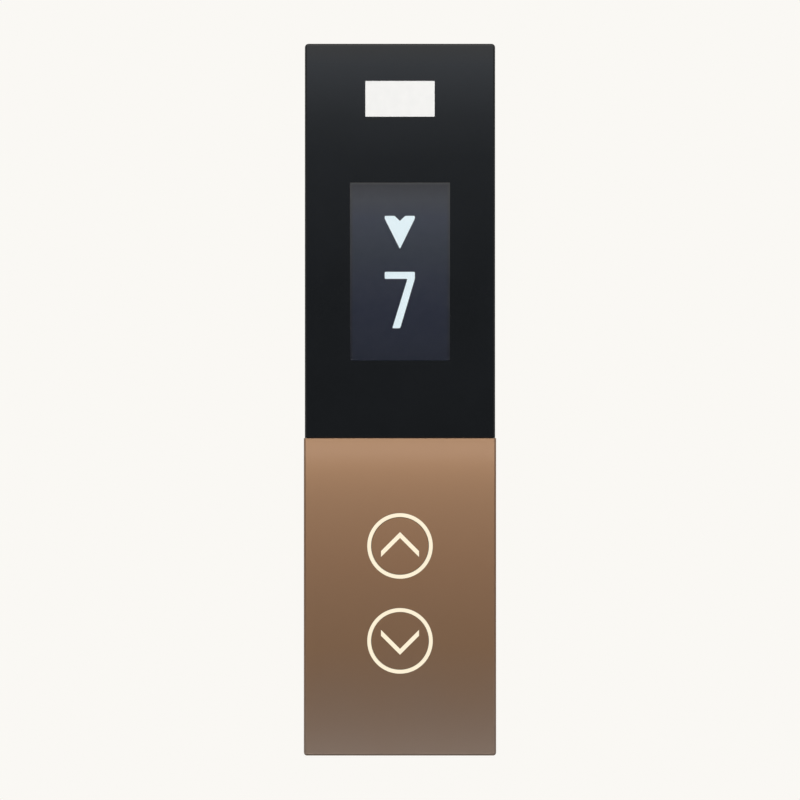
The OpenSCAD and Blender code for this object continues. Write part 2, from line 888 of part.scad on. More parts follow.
// Terminal block for the field wiring, with its wire entries towards the cable entry
module field_connector() {
    half = field_ways * field_pitch / 2 + field_wall;
    y1 = button_high - field_inset;
    y0 = y1 - field_d;
    z0 = z_back - field_h;
    z_wire = z_back - field_wall;
    color("seagreen") difference() {
        span([-half, y0, z0], [half, y1, z_back]);
        for (i = [0:field_ways - 1]) translate([(i - (field_ways - 1) / 2) * field_pitch, 0, 0]) {
            span([-field_wire / 2, y1 - field_d / 2, z_wire - field_h / 2],
                 [field_wire / 2, y1 + over, z_wire]);
            translate([0, y0 + field_d / 3, 0]) post(z0 - over, z0 + field_wall, field_screw_r);
        }
    }
}

// Ribbon cable from board to board, bowed forward a little
module ribbon_cable() {
    high = socket_top_y - socket_d / 2;
    low = socket_low_y + socket_d / 2;
    chord = high - low;
    r = chord * chord / (8 * ribbon_bow) + ribbon_bow / 2;
    spare = 4;
    sweep = 2 * asin(chord / (2 * r)) + spare;
    left = ribbon_x - ribbon_w / 2;
    color("lightsteelblue") intersection() {
        translate([left, (high + low) / 2, z_ribbon + ribbon_bow - r])
            rotate([90, 0, 90]) rotate([0, 0, 90 - sweep / 2]) rotate_extrude(angle = sweep)
                translate([r - ribbon_t / 2, 0]) square([ribbon_t, ribbon_w]);
        span([left - over, low, 0], [left + ribbon_w + over, high, z_front]);
    }
}

// Sockets at the ends of the ribbon cable
module ribbon_sockets() {
    color("black") for (y = [socket_top_y, socket_low_y])
        span([ribbon_x - socket_w / 2, y - socket_d / 2, z_back - socket_h],
             [ribbon_x + socket_w / 2, y + socket_d / 2, z_back]);
}

// Screws that hold the button board on the housing's bosses
module board_screws() {
    color("gainsboro") at_bosses() back_screw(screw_d, head_r, z_core_wall);
}

// Screws that hold the button cups on their board
module cup_screws() {
    color("gainsboro") for (s = [-1, 1], y = [y_up, y_down]) translate([s * ear_x, y, 0])
        back_screw(ear_screw_d, ear_head_r, z_board + ear_h - ear_skin - tip_gap);
}

// Light ring: clear-white moulding with a flange behind the cover and a light-pipe skirt
module halo_ring() {
    z_top = z_front + ring_proud;
    z_skirt = z_seat - skirt_len;
    color("cornsilk") rotate_extrude() polygon([
        [skirt_in, z_skirt], [skirt_out, z_skirt], [skirt_out, z_seat],
        [cup_r, z_seat], [cup_r, z_core], [ring_r, z_core],
        [ring_r, z_top - ring_soft], [ring_r - ring_soft, z_top],
        [bore_r + ring_soft, z_top], [bore_r, z_top - ring_soft],
        [bore_r, z_stop], [skirt_in, z_stop],
    ]);
}

// Foam washer between the ring's flange and the cover
module ring_gasket() {
    color("dimgray") tube(z_core, z_sheet, ring_r + hole_room, cup_r);
}

// Cup on the board: seats the ring, guides the carrier and carries the spring
module button_cup() {
    color("white") difference() {
        union() {
            tube(z_board, z_seat, cup_in, cup_r);
            tube(z_floor - floor_t, z_floor, floor_hole_r, sleeve_out);
            tube(z_floor - join, z_sleeve, sleeve_in, sleeve_out);
            for (turn = [0:90:270]) rotate([0, 0, turn])
                span([sleeve_out - join, -spoke_w / 2, z_floor - floor_t],
                     [cup_in + join, spoke_w / 2, z_floor]);
            for (s = [-1, 1]) {
                translate([s * ear_x, 0, 0]) post(z_board, z_board + ear_h, ear_r);
                translate([s * (cup_r + ear_out / 2 - join), 0, 0])
                    span([-ear_out / 2, -ear_w / 2, z_board], [ear_out / 2, ear_w / 2, z_board + ear_h]);
            }
        }
        for (s = [-1, 1]) {
            translate([s * ear_x, 0, 0])
                post(z_board - over, z_board + ear_h - ear_skin, ear_screw_d / 2 + thread_gap);
            translate([0, s * (sleeve_in + sleeve_out) / 2, z_floor]) linear_extrude(z_front)
                square([key_w + 2 * cap_gap, 2 * sleeve_wall], center = true);
        }
    }
}

// Light-emitting diodes under the ring and beside the switch
module leds() {
    half = led_size / 2;
    color("lightyellow") {
        for (i = [0:led_count - 1]) rotate([0, 0, (i + 0.5) * 360 / led_count])
            span([led_r - half, -half, z_board], [led_r + half, half, z_board + led_h]);
        for (s = [-1, 1]) translate([s * side_led_x, 0, 0])
            span([-side_led_w / 2, -half, z_board], [side_led_w / 2, half, z_board + led_h]);
    }
}

// Return spring with closed ends, between the cup's floor and the carrier
module return_spring() {
    turns = 3.5;
    steps = 24;
    sides = 8;
    rings = turns * steps;
    wire_r = spring_wire / 2;
    closed = 1.1 * spring_wire;
    active = z_carrier - z_floor - spring_wire - 2 * closed;
    points = [for (i = [0:rings], k = [0:sides - 1])
        let (t = i / steps, b = 360 * k / sides, r = spring_r + wire_r * cos(b),
             rise = closed * min(t, 1) + active * min(max((t - 1) / (turns - 2), 0), 1)
                 + closed * max(t - turns + 1, 0))
        [r * cos(360 * t), r * sin(360 * t), z_floor + wire_r + rise + wire_r * sin(b)]];
    walls = [for (i = [0:rings - 1], k = [0:sides - 1])
        let (a = i * sides + k, b = i * sides + (k + 1) % sides) [a, b, b + sides, a + sides]];
    ends = [[for (k = [sides - 1:-1:0]) k], [for (k = [0:sides - 1]) rings * sides + k]];
    color("silver") polyhedron(points, concat(walls, ends), convexity = 8);
}

// Body of the key switch
module switch_body() {
    depth = plunger_in + plunger_out;
    color("black") difference() {
        translate([0, 0, z_board]) linear_extrude(switch_h) rounded_rect(switch_w, switch_w, switch_r);
        post(z_switch - depth, z_switch + over, plunger_r + plunger_gap);
    }
}

// Plunger of the key switch
module switch_plunger() {
    color("ivory") post(z_switch - plunger_in, z_plunger, plunger_r);
}

// Carrier: holds the lens and the cap, slides in the cup and pushes the switch
module carrier() {
    top = z_carrier + join;
    color("whitesmoke") {
        post(z_carrier, z_stop, carrier_r);
        post(z_plunger, top, stem_r);
        tube(z_guide, top, guide_r - guide_wall, guide_r);
        for (s = [-1, 1]) translate([0, s * (guide_r + (key_out - join) / 2), z_guide])
            linear_extrude(top - z_guide) square([key_w, key_out + join], center = true);
    }
}

// Outline of the arrow, grown all round by some slack
module arrow_outline(grow) {
    half = arrow_w / 2 + grow;
    top = arrow_rise + grow * sqrt(2);
    drop = (arrow_stroke + 2 * grow) * sqrt(2);
    polygon([[-half, top - half - drop], [-half, top - half], [0, top],
             [half, top - half], [half, top - half - drop], [0, top - drop]]);
}

// Lens: a clear-white disc whose raised arrow fills the cut in the cap
module arrow_lens() {
    color("cornsilk") {
        post(z_stop, z_sheet, lens_r);
        translate([0, 0, z_sheet - join]) linear_extrude(sheet_t + join) arrow_outline(0);
    }
}

// Cap: bronze disc turned down at its edge, with the arrow cut through it
module cap() {
    inner = cap_r - cap_wall;
    color("#8a6548") difference() {
        rotate_extrude() polygon([
            [0, z_sheet], [inner, z_sheet], [inner, z_stop], [cap_r, z_stop],
            [cap_r, z_front - cap_soft], [cap_r - cap_soft, z_front], [0, z_front],
        ]);
        translate([0, 0, z_sheet - over]) linear_extrude(sheet_t + 2 * over) arrow_outline(arrow_gap);
    }
}

upright() wall_plate();
upright() housing();
upright() front_glass();
upright() glass_mask();
upright() glass_tape();
upright() lcd_gasket();
upright() lcd_can();
upright() lcd_cell();
upright() lcd_backlight();
upright() lcd_bracket();
upright() lcd_flex();
upright() flex_connector();
upright() display_board();
upright() display_chips();
upright() standoffs();
upright() display_screws();
upright() face_cover();
upright() cover_studs();
upright() cover_nuts();
upright() lock_screws();
upright() button_board();
upright() button_chips();
upright() buzzer();
upright() field_connector();
upright() ribbon_cable();
upright() ribbon_sockets();
upright() board_screws();
upright() cup_screws();
upright() at_up() halo_ring();  // up_halo_ring
upright() at_up() ring_gasket();  // up_ring_gasket
upright() at_up() button_cup();  // up_button_cup
upright() at_up() leds();  // up_leds
upright() at_up() return_spring();  // up_spring
upright() at_up() switch_body();  // up_switch_body
upright() at_up() switch_plunger();  // up_switch_plunger
upright() at_up() carrier();  // up_carrier
upright() at_up() arrow_lens();  // up_arrow_lens
upright() at_up() cap();  // up_cap
upright() at_down() halo_ring();  // down_halo_ring
upright() at_down() ring_gasket();  // down_ring_gasket
upright() at_down() button_cup();  // down_button_cup
upright() at_down() leds();  // down_leds
upright() at_down() return_spring();  // down_spring
upright() at_down() switch_body();  // down_switch_body
upright() at_down() switch_plunger();  // down_switch_plunger
upright() at_down() carrier();  // down_carrier
upright() at_down() arrow_lens();  // down_arrow_lens
upright() at_down() cap();  // down_cap
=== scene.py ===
import math

import bmesh
import bpy
import numpy as np
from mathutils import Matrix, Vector


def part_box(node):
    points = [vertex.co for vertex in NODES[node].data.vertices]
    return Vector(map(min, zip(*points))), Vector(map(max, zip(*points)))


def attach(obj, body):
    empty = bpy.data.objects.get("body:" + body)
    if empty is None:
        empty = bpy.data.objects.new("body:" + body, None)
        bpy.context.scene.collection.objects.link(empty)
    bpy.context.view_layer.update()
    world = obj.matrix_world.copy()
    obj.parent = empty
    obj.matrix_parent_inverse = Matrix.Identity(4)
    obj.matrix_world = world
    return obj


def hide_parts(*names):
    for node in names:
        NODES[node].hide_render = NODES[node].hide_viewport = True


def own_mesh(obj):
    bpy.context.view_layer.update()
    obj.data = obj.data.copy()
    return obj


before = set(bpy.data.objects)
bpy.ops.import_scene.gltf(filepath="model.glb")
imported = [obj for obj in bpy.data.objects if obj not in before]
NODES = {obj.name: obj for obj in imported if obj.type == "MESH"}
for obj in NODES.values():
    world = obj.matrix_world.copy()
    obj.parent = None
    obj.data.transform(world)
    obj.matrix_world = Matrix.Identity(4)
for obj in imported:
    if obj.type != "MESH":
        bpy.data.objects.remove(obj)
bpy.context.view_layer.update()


# Wall plate: 1.5 mm zinc-plated steel, punched and folded, screwed to the wall before the
# station is hung on its two hooks. The plating is bright, faintly cloudy, and drawn out in
# the direction in which the sheet was rolled.
MM = 0.001
ZINC_DULL, ZINC_BRIGHT, ZINC_RUBBED = (0.43, 0.44, 0.45), (0.63, 0.64, 0.64), (0.3, 0.29, 0.28)
STREAK, STREAK_STRETCH = 2.5 * MM, (4, 1, 0.12)
SPANGLE, SPANGLE_SHARE = 3.2 * MM, 0.35
ZINC_EDGE, ZINC_LIFT = 0.35 * MM, 0.02 * MM


def finish(name, **sockets):
    """A material with one shader, whose constants are set on the shader's own sockets."""
    mat = bpy.data.materials.new(name)
    mat.use_nodes = True
    shader = mat.node_tree.nodes["Principled BSDF"]
    for socket, value in sockets.items():
        shader.inputs[socket.replace("_", " ")].default_value = value
    return mat


def add(mat, kind, inputs=None, **settings):
    """A new node in a material; an input is a plain value or another node's output."""
    made = mat.node_tree.nodes.new("ShaderNode" + kind)
    for key, value in settings.items():
        setattr(made, key, value)
    for key, value in (inputs or {}).items():
        if isinstance(value, bpy.types.NodeSocket):
            mat.node_tree.links.new(value, made.inputs[key])
        else:
            made.inputs[key].default_value = value
    return made


def feed(mat, socket, output):
    """Links an output to a socket of the material's shader."""
    mat.node_tree.links.new(output, mat.node_tree.nodes["Principled BSDF"].inputs[socket])


def place(mat, stretch=(1, 1, 1), shift=(0, 0, 0)):
    """The piece's own coordinates in metres, stretched and then shifted."""
    own = add(mat, "TexCoord").outputs["Object"]
    return add(mat, "Mapping", {"Vector": own, "Scale": stretch, "Location": shift}).outputs[0]


def cloud(mat, size, detail=3.0, stretch=(1, 1, 1)):
    """Noise whose blotches are about so many metres across."""
    spot = place(mat, stretch)
    return add(mat, "TexNoise", {"Vector": spot, "Scale": 1 / size, "Detail": detail}).outputs[0]


def ramp(mat, fac, *stops):
    """A colour ramp over (position, colour) stops."""
    made = add(mat, "ValToRGB", {"Fac": fac})
    bar = made.color_ramp.elements
    while len(bar) < len(stops):
        bar.new(0.5)
    for element, (position, colour) in zip(bar, stops):
        element.position = position
        element.color = (*colour, 1)
    return made.outputs["Color"]


def spread(mat, fac, low, high, start=0.3, end=0.7, smooth=False):
    """Stretches a pattern's values from start..end to low..high, and stops there."""
    kind = "SMOOTHSTEP" if smooth else "LINEAR"
    return add(mat, "MapRange", {"Value": fac, "From Min": start, "From Max": end, "To Min": low,
                                 "To Max": high}, interpolation_type=kind).outputs[0]


def reckon(mat, operation, *values):
    """One step of arithmetic on patterns and plain numbers."""
    return add(mat, "Math", dict(enumerate(values)), operation=operation).outputs[0]


def between(mat, share, first, second):
    """A colour that gives way to a second one as the share goes from 0 to 1."""
    return add(mat, "Mix", {"Factor": share, "A": first, "B": second}, data_type="RGBA").outputs["Result"]


def emboss(mat, fac, strength, depth):
    """Lets a pattern stand out of the surface by a depth in metres."""
    bump = add(mat, "Bump", {"Height": fac, "Strength": strength, "Distance": depth})
    feed(mat, "Normal", bump.outputs[0])


def rubbed(mat, colour, edge_colour, reach):
    """A colour that gives way to another along the edges: where the surface turns away from the
    same surface with its edges rounded over the reach, the edge colour shows, in patches."""
    soft = add(mat, "Bevel", {"Radius": reach}, samples=4).outputs[0]
    true = add(mat, "NewGeometry").outputs["Normal"]
    turned = add(mat, "VectorMath", {0: soft, 1: true}, operation="DOT_PRODUCT").outputs["Value"]
    worn = spread(mat, turned, low=1, high=0, start=0.8, end=0.99)
    patchy = spread(mat, cloud(mat, size=1.5 * MM), low=0.2, high=1)
    return between(mat, reckon(mat, "MULTIPLY", worn, patchy), colour, (*edge_colour, 1))


def wear(mat, *names):
    """Puts one finish on CAD nodes."""
    for name in names:
        NODES[name].data.materials.clear()
        NODES[name].data.materials.append(mat)


zinc = finish("zinc_plate", Metallic=1.0)
rolled = cloud(zinc, STREAK, detail=4.0, stretch=STREAK_STRETCH)
spangle = add(zinc, "TexVoronoi", {"Vector": place(zinc), "Scale": 1 / SPANGLE}).outputs["Color"]
mottle = add(zinc, "Mix", {"Factor": SPANGLE_SHARE, "A": rolled, "B": spangle}, data_type="FLOAT").outputs[0]
plated = ramp(zinc, mottle, (0.25, ZINC_DULL), (0.75, ZINC_BRIGHT))
feed(zinc, "Base Color", rubbed(zinc, plated, ZINC_RUBBED, ZINC_EDGE))
feed(zinc, "Roughness", spread(zinc, mottle, low=0.28, high=0.46))
emboss(zinc, rolled, strength=0.25, depth=ZINC_LIFT)
wear(zinc, "wall_plate")


# Cable entry trim: a strip of soft black rubber pressed on to the sharp edge of the plate's
# cable opening, so that the field cable is not cut. Its lip stands on the plate's front side.
ENTRY_W, ENTRY_H, ENTRY_R, ENTRY_Z = 44 * MM, 27 * MM, 4 * MM, -18 * MM
PLATE_FRONT, TRIM_BACK, TRIM_SEAT = -1.5 * MM, -0.1 * MM, -0.02 * MM
LIP_IN, LIP_OUT, LIP_FOOT, LIP_RISE = -0.8 * MM, 2.3 * MM, -1.55 * MM, 0.85 * MM


def grained(name, dark, pale, blotch, grain, rough, lift, edge=None, **sockets):
    """A finish that wanders between two colours in blotches and has a fine grain: the grain
    moves the roughness between two values and stands out by a lift in metres. An edge is
    (colour, reach): the colour that shows where edges are rubbed, and how far in."""
    mat = finish(name, **sockets)
    tone = ramp(mat, cloud(mat, blotch), (0.32, dark), (0.68, pale))
    feed(mat, "Base Color", rubbed(mat, tone, *edge) if edge else tone)
    fine = cloud(mat, grain, detail=2.0)
    feed(mat, "Roughness", spread(mat, fine, *rough))
    emboss(mat, fine, strength=0.6, depth=lift)
    return mat


def skin(name, grid, wrap_rows=False, wrap_cols=True, caps=False, smooth=35):
    """A mesh over grids of points, as an array (parts, rows, columns, 3). Each cell is a face.
    Rows or columns close on themselves where asked, and caps close the first and last row.
    Edges sharper than the smooth angle, in degrees, stay sharp."""
    grid = grid.reshape((-1,) + grid.shape[-3:])
    parts, rows, cols = grid.shape[:3]
    index = np.arange(parts * rows * cols).reshape(parts, rows, cols)
    ends = [index[:, 0, ::-1], index[:, -1]] if caps else []
    if wrap_rows:
        index = np.concatenate([index, index[:, :1]], 1)
    if wrap_cols:
        index = np.concatenate([index, index[:, :, :1]], 2)
    cells = np.stack([index[:, :-1, :-1], index[:, :-1, 1:], index[:, 1:, 1:], index[:, 1:, :-1]], -1)
    faces = cells.reshape(-1, 4).tolist()
    for end in ends:
        faces += end.tolist()
    mesh = bpy.data.meshes.new(name)
    mesh.from_pydata(grid.reshape(-1, 3).tolist(), [], faces)
    whole = bmesh.new()
    whole.from_mesh(mesh)
    bmesh.ops.recalc_face_normals(whole, faces=whole.faces)
    whole.to_mesh(mesh)
    whole.free()
    mesh.polygons.foreach_set("use_smooth", np.ones(len(mesh.polygons), bool))
    mesh.set_sharp_from_angle(angle=math.radians(smooth))
    made = bpy.data.objects.new(name, mesh)
    bpy.context.scene.collection.objects.link(made)
    return made


def fit(obj, mat, body, slot, *stands_for):
    """Gives a finished piece its material and its body, and hides the nodes it stands for. The slot is not
    used.
    """
    obj.data.materials.append(mat)
    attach(obj, body)
    if stands_for:
        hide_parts(*stands_for)


def round_rect(w, h, r, steps=8):
    """Points round a rectangle with round corners, as (x, z), and the outward normals there:
    a quarter circle about each corner's centre, joined by the straight sides."""
    turn = np.radians(np.arange(4)[:, None] * 90 + np.linspace(0, 90, steps + 1)[None])
    out = np.stack([np.cos(turn), np.sin(turn)], -1)
    sign = np.array([[1, 1], [-1, 1], [-1, -1], [1, -1]])[:, None]
    return (sign * (np.array([w, h]) / 2 - r) + r * out).reshape(-1, 2), out.reshape(-1, 2)


def carried(path, out, profile):
    """A closed profile of (outward, depth) points carried along a loop in the plane of the wall:
    each loop point plus the outward offset along its normal, with the depth as Y."""
    spot = path[:, None] + out[:, None] * profile[None, :, :1]
    depth = np.broadcast_to(profile[None, :, 1], spot.shape[:2])
    return np.stack([spot[..., 0], depth, spot[..., 1]], -1)


rubber = grained("rubber_trim", dark=(0.014, 0.014, 0.015), pale=(0.028, 0.028, 0.029), blotch=4 * MM,
                 grain=0.25 * MM, rough=(0.62, 0.78), lift=0.02 * MM)
entry_path, entry_out = round_rect(ENTRY_W, ENTRY_H, ENTRY_R, steps=10)
entry_path = entry_path + np.array([0, ENTRY_Z])
bead = np.radians(np.linspace(180, 0, 9))
lip = np.stack([(LIP_OUT + LIP_IN) / 2 + (LIP_OUT - LIP_IN) / 2 * np.cos(bead),
                LIP_FOOT - LIP_RISE * np.sin(bead)], -1)
grip = [[LIP_OUT, PLATE_FRONT], [TRIM_SEAT, PLATE_FRONT], [TRIM_SEAT, TRIM_BACK], [LIP_IN, TRIM_BACK]]
trim_profile = np.concatenate([lip, grip])
trim = skin("cable_trim", carried(entry_path, entry_out, trim_profile), wrap_rows=True)
fit(trim, rubber, "station", "foam_black")


# Housing: one black injection moulding in glass-filled plastic with a spark-eroded grain.
# It hangs on the wall plate and carries the glass, the boards and the metal cover.
moulding = grained("housing_moulding", dark=(0.0085, 0.0088, 0.0094), pale=(0.0145, 0.0147, 0.0152),
                   blotch=18 * MM, grain=0.35 * MM, rough=(0.42, 0.6), lift=0.03 * MM,
                   edge=((0.032, 0.032, 0.033), 0.25 * MM), Specular_IOR_Level=0.3)
wear(moulding, "housing")


# Tape and gaskets: closed-cell black foam, cut from sheet. They bond the glass to its ledge,
# keep dust out of the display and seal the flange of each light ring against the cover.
foam = grained("foam_gasket", dark=(0.012, 0.012, 0.012), pale=(0.03, 0.03, 0.03), blotch=1.5 * MM,
               grain=0.3 * MM, rough=(0.75, 0.95), lift=0.05 * MM)
wear(foam, "glass_tape", "lcd_gasket", "up_ring_gasket", "down_ring_gasket")


# Display module: a pressed tin-plated can round a liquid-crystal cell and its backlight, held against the
# glass by a pressed bracket. The cell glows dark blue-grey, with a paler unlit border just inside the window.
# Both get brighter towards the top of the window, with a thin bright line at its top edge: a painted
# reflection.
VIEW_W, VIEW_H, VIEW_Z = 53.6 * MM, 95.3 * MM, 68.7 * MM
BORDER_FROM, BORDER_TO, BORDER_SHARE = VIEW_W / 2 - 2.2 * MM, VIEW_W / 2 - 0.2 * MM, 0.8


def along(mat, axis, shift=(0, 0, 0)):
    """How far a point lies along one axis of the piece's own coordinates, in metres."""
    return add(mat, "SeparateXYZ", {"Vector": place(mat, shift=shift)}).outputs[axis]


tin = grained("tin_plate", dark=(0.5, 0.5, 0.5), pale=(0.62, 0.62, 0.61), blotch=9 * MM, grain=0.5 * MM,
              rough=(0.3, 0.42), lift=0.006 * MM, Metallic=1.0)
wear(tin, "lcd_can")
wear(zinc, "lcd_bracket")
diffuser = grained("backlight_film", dark=(0.74, 0.75, 0.76), pale=(0.82, 0.83, 0.84), blotch=6 * MM,
                   grain=0.2 * MM, rough=(0.4, 0.55), lift=0.004 * MM)
wear(diffuser, "lcd_backlight")
screen = finish("screen_glass", Roughness=0.3, Specular_IOR_Level=0.1, Emission_Strength=1.0)
unlit = ramp(screen, cloud(screen, 5 * MM), (0.3, (0.004, 0.004, 0.005)), (0.7, (0.007, 0.007, 0.009)))
feed(screen, "Base Color", unlit)
# Painted reflection: by height, the glow and its border get brighter towards the top of the window, with a
# thin bright line at the very top.
height = along(screen, "Z", shift=(0, 0, -VIEW_Z))
painted_reflection_level = spread(screen, height, low=0, high=1, start=-VIEW_H / 2, end=VIEW_H / 2)
glow_and_painted_reflection = ramp(screen, painted_reflection_level, (0.0, (0.014, 0.0165, 0.027)), (0.1, (0.016, 0.019, 0.0315)),
            (0.27, (0.0172, 0.0203, 0.0348)), (0.45, (0.0245, 0.028, 0.043)),
            (0.62, (0.031, 0.036, 0.049)), (0.8, (0.0412, 0.0458, 0.0635)),
            (0.9, (0.0492, 0.0518, 0.0622)), (0.97, (0.0408, 0.0418, 0.0482)),
            (0.988, (0.039, 0.0395, 0.0448)), (0.994, (0.06, 0.059, 0.06)))
side = reckon(screen, "ABSOLUTE", along(screen, "X"))
rim = spread(screen, side, low=0, high=BORDER_SHARE, start=BORDER_FROM, end=BORDER_TO, smooth=True)
border_and_painted_reflection = ramp(screen, painted_reflection_level, (0.0, (0.014, 0.0145, 0.017)), (0.45, (0.026, 0.0265, 0.029)),
              (0.95, (0.054, 0.053, 0.0535)))
feed(screen, "Emission Color", between(screen, rim, glow_and_painted_reflection, border_and_painted_reflection))
wear(screen, "lcd_cell")


# Floor number and travel arrow: what the display shows, drawn as thin lit shapes on the face of
# the cell. The figure and the arrow are plain strokes with slightly rounded corners.
FIGURE = np.array([[-8.2, 11.0], [7.95, 11.0], [7.95, 7.3], [0.1, -19.2], [-4.1, -19.2], [4.0, 7.25],
                   [-8.2, 7.25]]) * MM
ARROW = np.array([[-8.2, 0.0], [-2.95, 0.0], [-0.05, -2.7], [2.85, 0.0], [7.95, 0.0], [7.95, -1.5],
                  [-0.05, -17.7], [-8.2, -1.5]]) * MM
FIGURE_SOFT = 0.65 * MM
ARROW_SOFT = np.array([0.6, 0.3, 0.3, 0.3, 0.6, 0.6, 0.5, 0.6]) * MM
FIGURE_Z, ARROW_Z = 57.55 * MM, 98.55 * MM
LIT_FRONT, LIT_BACK = 0.08 * MM, 0.01 * MM
DOT_PITCH = 0.1885 * MM


def soften(points, radius, steps=5):
    """An outline whose corners are rounded by one reach, or by one for each: at each corner a
    curve from a point on the side before it to a point on the side after it, bent towards it."""
    before, after = np.roll(points, 1, 0) - points, np.roll(points, -1, 0) - points
    reach_b = np.minimum(radius, np.linalg.norm(before, axis=1) / 2)[:, None]
    reach_a = np.minimum(radius, np.linalg.norm(after, axis=1) / 2)[:, None]
    start = points + before / np.linalg.norm(before, axis=1)[:, None] * reach_b
    end = points + after / np.linalg.norm(after, axis=1)[:, None] * reach_a
    t = np.linspace(0, 1, steps)[None, :, None]
    bow = (1 - t) ** 2 * start[:, None] + 2 * t * (1 - t) * points[:, None] + t ** 2 * end[:, None]
    return bow.reshape(-1, 2)


def cut_sheet(name, outline, front, back, edge=0.0):
    """Flat sheets, one for each outline of (x, z) points, between two depths. Where an edge width
    is given, the front loop is drawn in by it, towards the outline's middle, as a broken edge."""
    outline = outline.reshape((-1,) + outline.shape[-2:])
    low, high = outline.min(1, keepdims=True), outline.max(1, keepdims=True)
    inner = (low + high) / 2 + (outline - (low + high) / 2) * (1 - 2 * edge / (high - low))
    step = edge if front > back else -edge
    loops = [(outline, back), (inner, front)]
    if edge:
        loops.insert(1, (outline, front - step))
    grid = np.stack([np.stack([o[..., 0], np.full(o.shape[:2], d), o[..., 1]], -1) for o, d in loops], 1)
    return skin(name, grid, caps=True)


def stripes(mat, pitch):
    """Soft bands across x, one in each pitch: the wave turns by 20 radians times its scale in a metre."""
    scale = 2 * math.pi / (20 * pitch)
    return add(mat, "TexWave", {"Vector": place(mat), "Scale": scale}, bands_direction="X").outputs["Fac"]


symbol = finish("lit_symbol", Roughness=0.4, Emission_Strength=1.0)
dark_dots = ramp(symbol, cloud(symbol, 3 * MM), (0.3, (0.03, 0.035, 0.04)), (0.7, (0.05, 0.05, 0.06)))
feed(symbol, "Base Color", dark_dots)
lit_dots = ramp(symbol, stripes(symbol, DOT_PITCH), (0.0, (0.765, 0.88, 0.935)), (1.0, (0.79, 0.9, 0.945)))
feed(symbol, "Emission Color", lit_dots)
cell_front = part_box("lcd_cell")[0].y
for name, outline, soft, z in (("floor_figure", FIGURE, FIGURE_SOFT, FIGURE_Z),
                               ("travel_arrow", ARROW, ARROW_SOFT, ARROW_Z)):
    drawn = soften(outline, soft) + np.array([0, z])
    shape = cut_sheet(name, drawn, cell_front - LIT_FRONT, cell_front - LIT_BACK)
    fit(shape, symbol, "station", "screen")


# Front glass and its print: 3 mm clear toughened glass with ground and blackened edges, bonded
# into the rim of the housing. Black ink is printed on its back, all but the display window, with
# no air between ink and glass, so the printed part shines and is black through its whole depth.
INK_DARK, INK_PALE, INK_BLOTCH = (0.0096, 0.0111, 0.013), (0.0108, 0.0124, 0.0148), 30 * MM
ink = grained("mask_ink", dark=INK_DARK, pale=INK_PALE, blotch=INK_BLOTCH, grain=0.2 * MM,
              rough=(0.5, 0.6), lift=0.002 * MM, Specular_IOR_Level=0.2)
wear(ink, "glass_mask")
printed = finish("printed_glass", IOR=1.5, Roughness=0.0)
from_middle = reckon(printed, "ABSOLUTE", along(printed, "X"))
beside = reckon(printed, "GREATER_THAN", from_middle, VIEW_W / 2)
from_centre = reckon(printed, "ABSOLUTE", along(printed, "Z", shift=(0, 0, -VIEW_Z)))
beyond = reckon(printed, "GREATER_THAN", from_centre, VIEW_H / 2)
inked = reckon(printed, "MAXIMUM", beside, beyond)
clear = ramp(printed, cloud(printed, 60 * MM), (0.3, (0.955, 0.97, 0.965)), (0.7, (0.975, 0.985, 0.98)))
black = ramp(printed, cloud(printed, INK_BLOTCH), (0.3, INK_DARK), (0.7, INK_PALE))
feed(printed, "Base Color", between(printed, inked, clear, black))
feed(printed, "Transmission Weight", spread(printed, inked, low=1, high=0, start=0, end=1))
wear(printed, "front_glass")


# Badge plate: a plain plate of white enamelled aluminium, 0.25 mm thick with a broken front edge,
# bonded to the face of the glass near its top.
BADGE_W, BADGE_H, BADGE_R, BADGE_Z = 37.1 * MM, 19.1 * MM, 0.35 * MM, 161.0 * MM
BADGE_THICK, BADGE_EDGE = 0.25 * MM, 0.08 * MM
enamel = grained("white_enamel", dark=(0.81, 0.825, 0.845), pale=(0.845, 0.858, 0.876), blotch=7 * MM,
                 grain=0.4 * MM, rough=(0.35, 0.45), lift=0.004 * MM)
glass_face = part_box("front_glass")[0].y
badge_outline, _ = round_rect(BADGE_W, BADGE_H, BADGE_R)
badge_outline = badge_outline + np.array([0, BADGE_Z])
badge = cut_sheet("badge_plate", badge_outline, glass_face - BADGE_THICK, glass_face, BADGE_EDGE)
fit(badge, enamel, "station", "white_plastic")


# Circuit boards: 1.6 mm glass epoxy under green solder mask, with copper tracks that show as
# paler lines, screwed to brass standoffs and to the housing's bosses. The larger parts on them
# are moulded in black resin.
TRACK_CELL, TRACK_WAVES, TRACK_LIFT = 4 * MM, 9.0, 0.03 * MM
board = finish("solder_mask", Coat_Weight=0.4, Coat_Roughness=0.2)
tracks = add(board, "TexVoronoi", {"Vector": place(board, stretch=(1, 0, 1)), "Scale": 1 / TRACK_CELL},
             distance="MANHATTAN", feature="F2").outputs["Distance"]
wave = reckon(board, "SINE", reckon(board, "MULTIPLY", tracks, TRACK_WAVES))
copper_lines = spread(board, wave, low=0, high=1, start=0.35, end=0.6)
masked = ramp(board, copper_lines, (0.0, (0.006, 0.06, 0.024)), (1.0, (0.018, 0.13, 0.05)))
feed(board, "Base Color", masked)
feed(board, "Roughness", spread(board, cloud(board, 0.8 * MM), low=0.3, high=0.45))
emboss(board, copper_lines, strength=0.5, depth=TRACK_LIFT)
wear(board, "display_board", "button_board")
resin = grained("chip_resin", dark=(0.012, 0.012, 0.013), pale=(0.024, 0.024, 0.025), blotch=3 * MM,
                grain=0.12 * MM, rough=(0.5, 0.7), lift=0.01 * MM)
wear(resin, "display_chips", "button_chips", "buzzer", "up_switch_body", "down_switch_body", "ribbon_sockets")
brass = grained("turned_brass", dark=(0.54, 0.37, 0.12), pale=(0.7, 0.5, 0.19), blotch=4 * MM,
                grain=0.3 * MM, rough=(0.22, 0.36), lift=0.005 * MM, Metallic=1.0)
wear(brass, "standoffs")


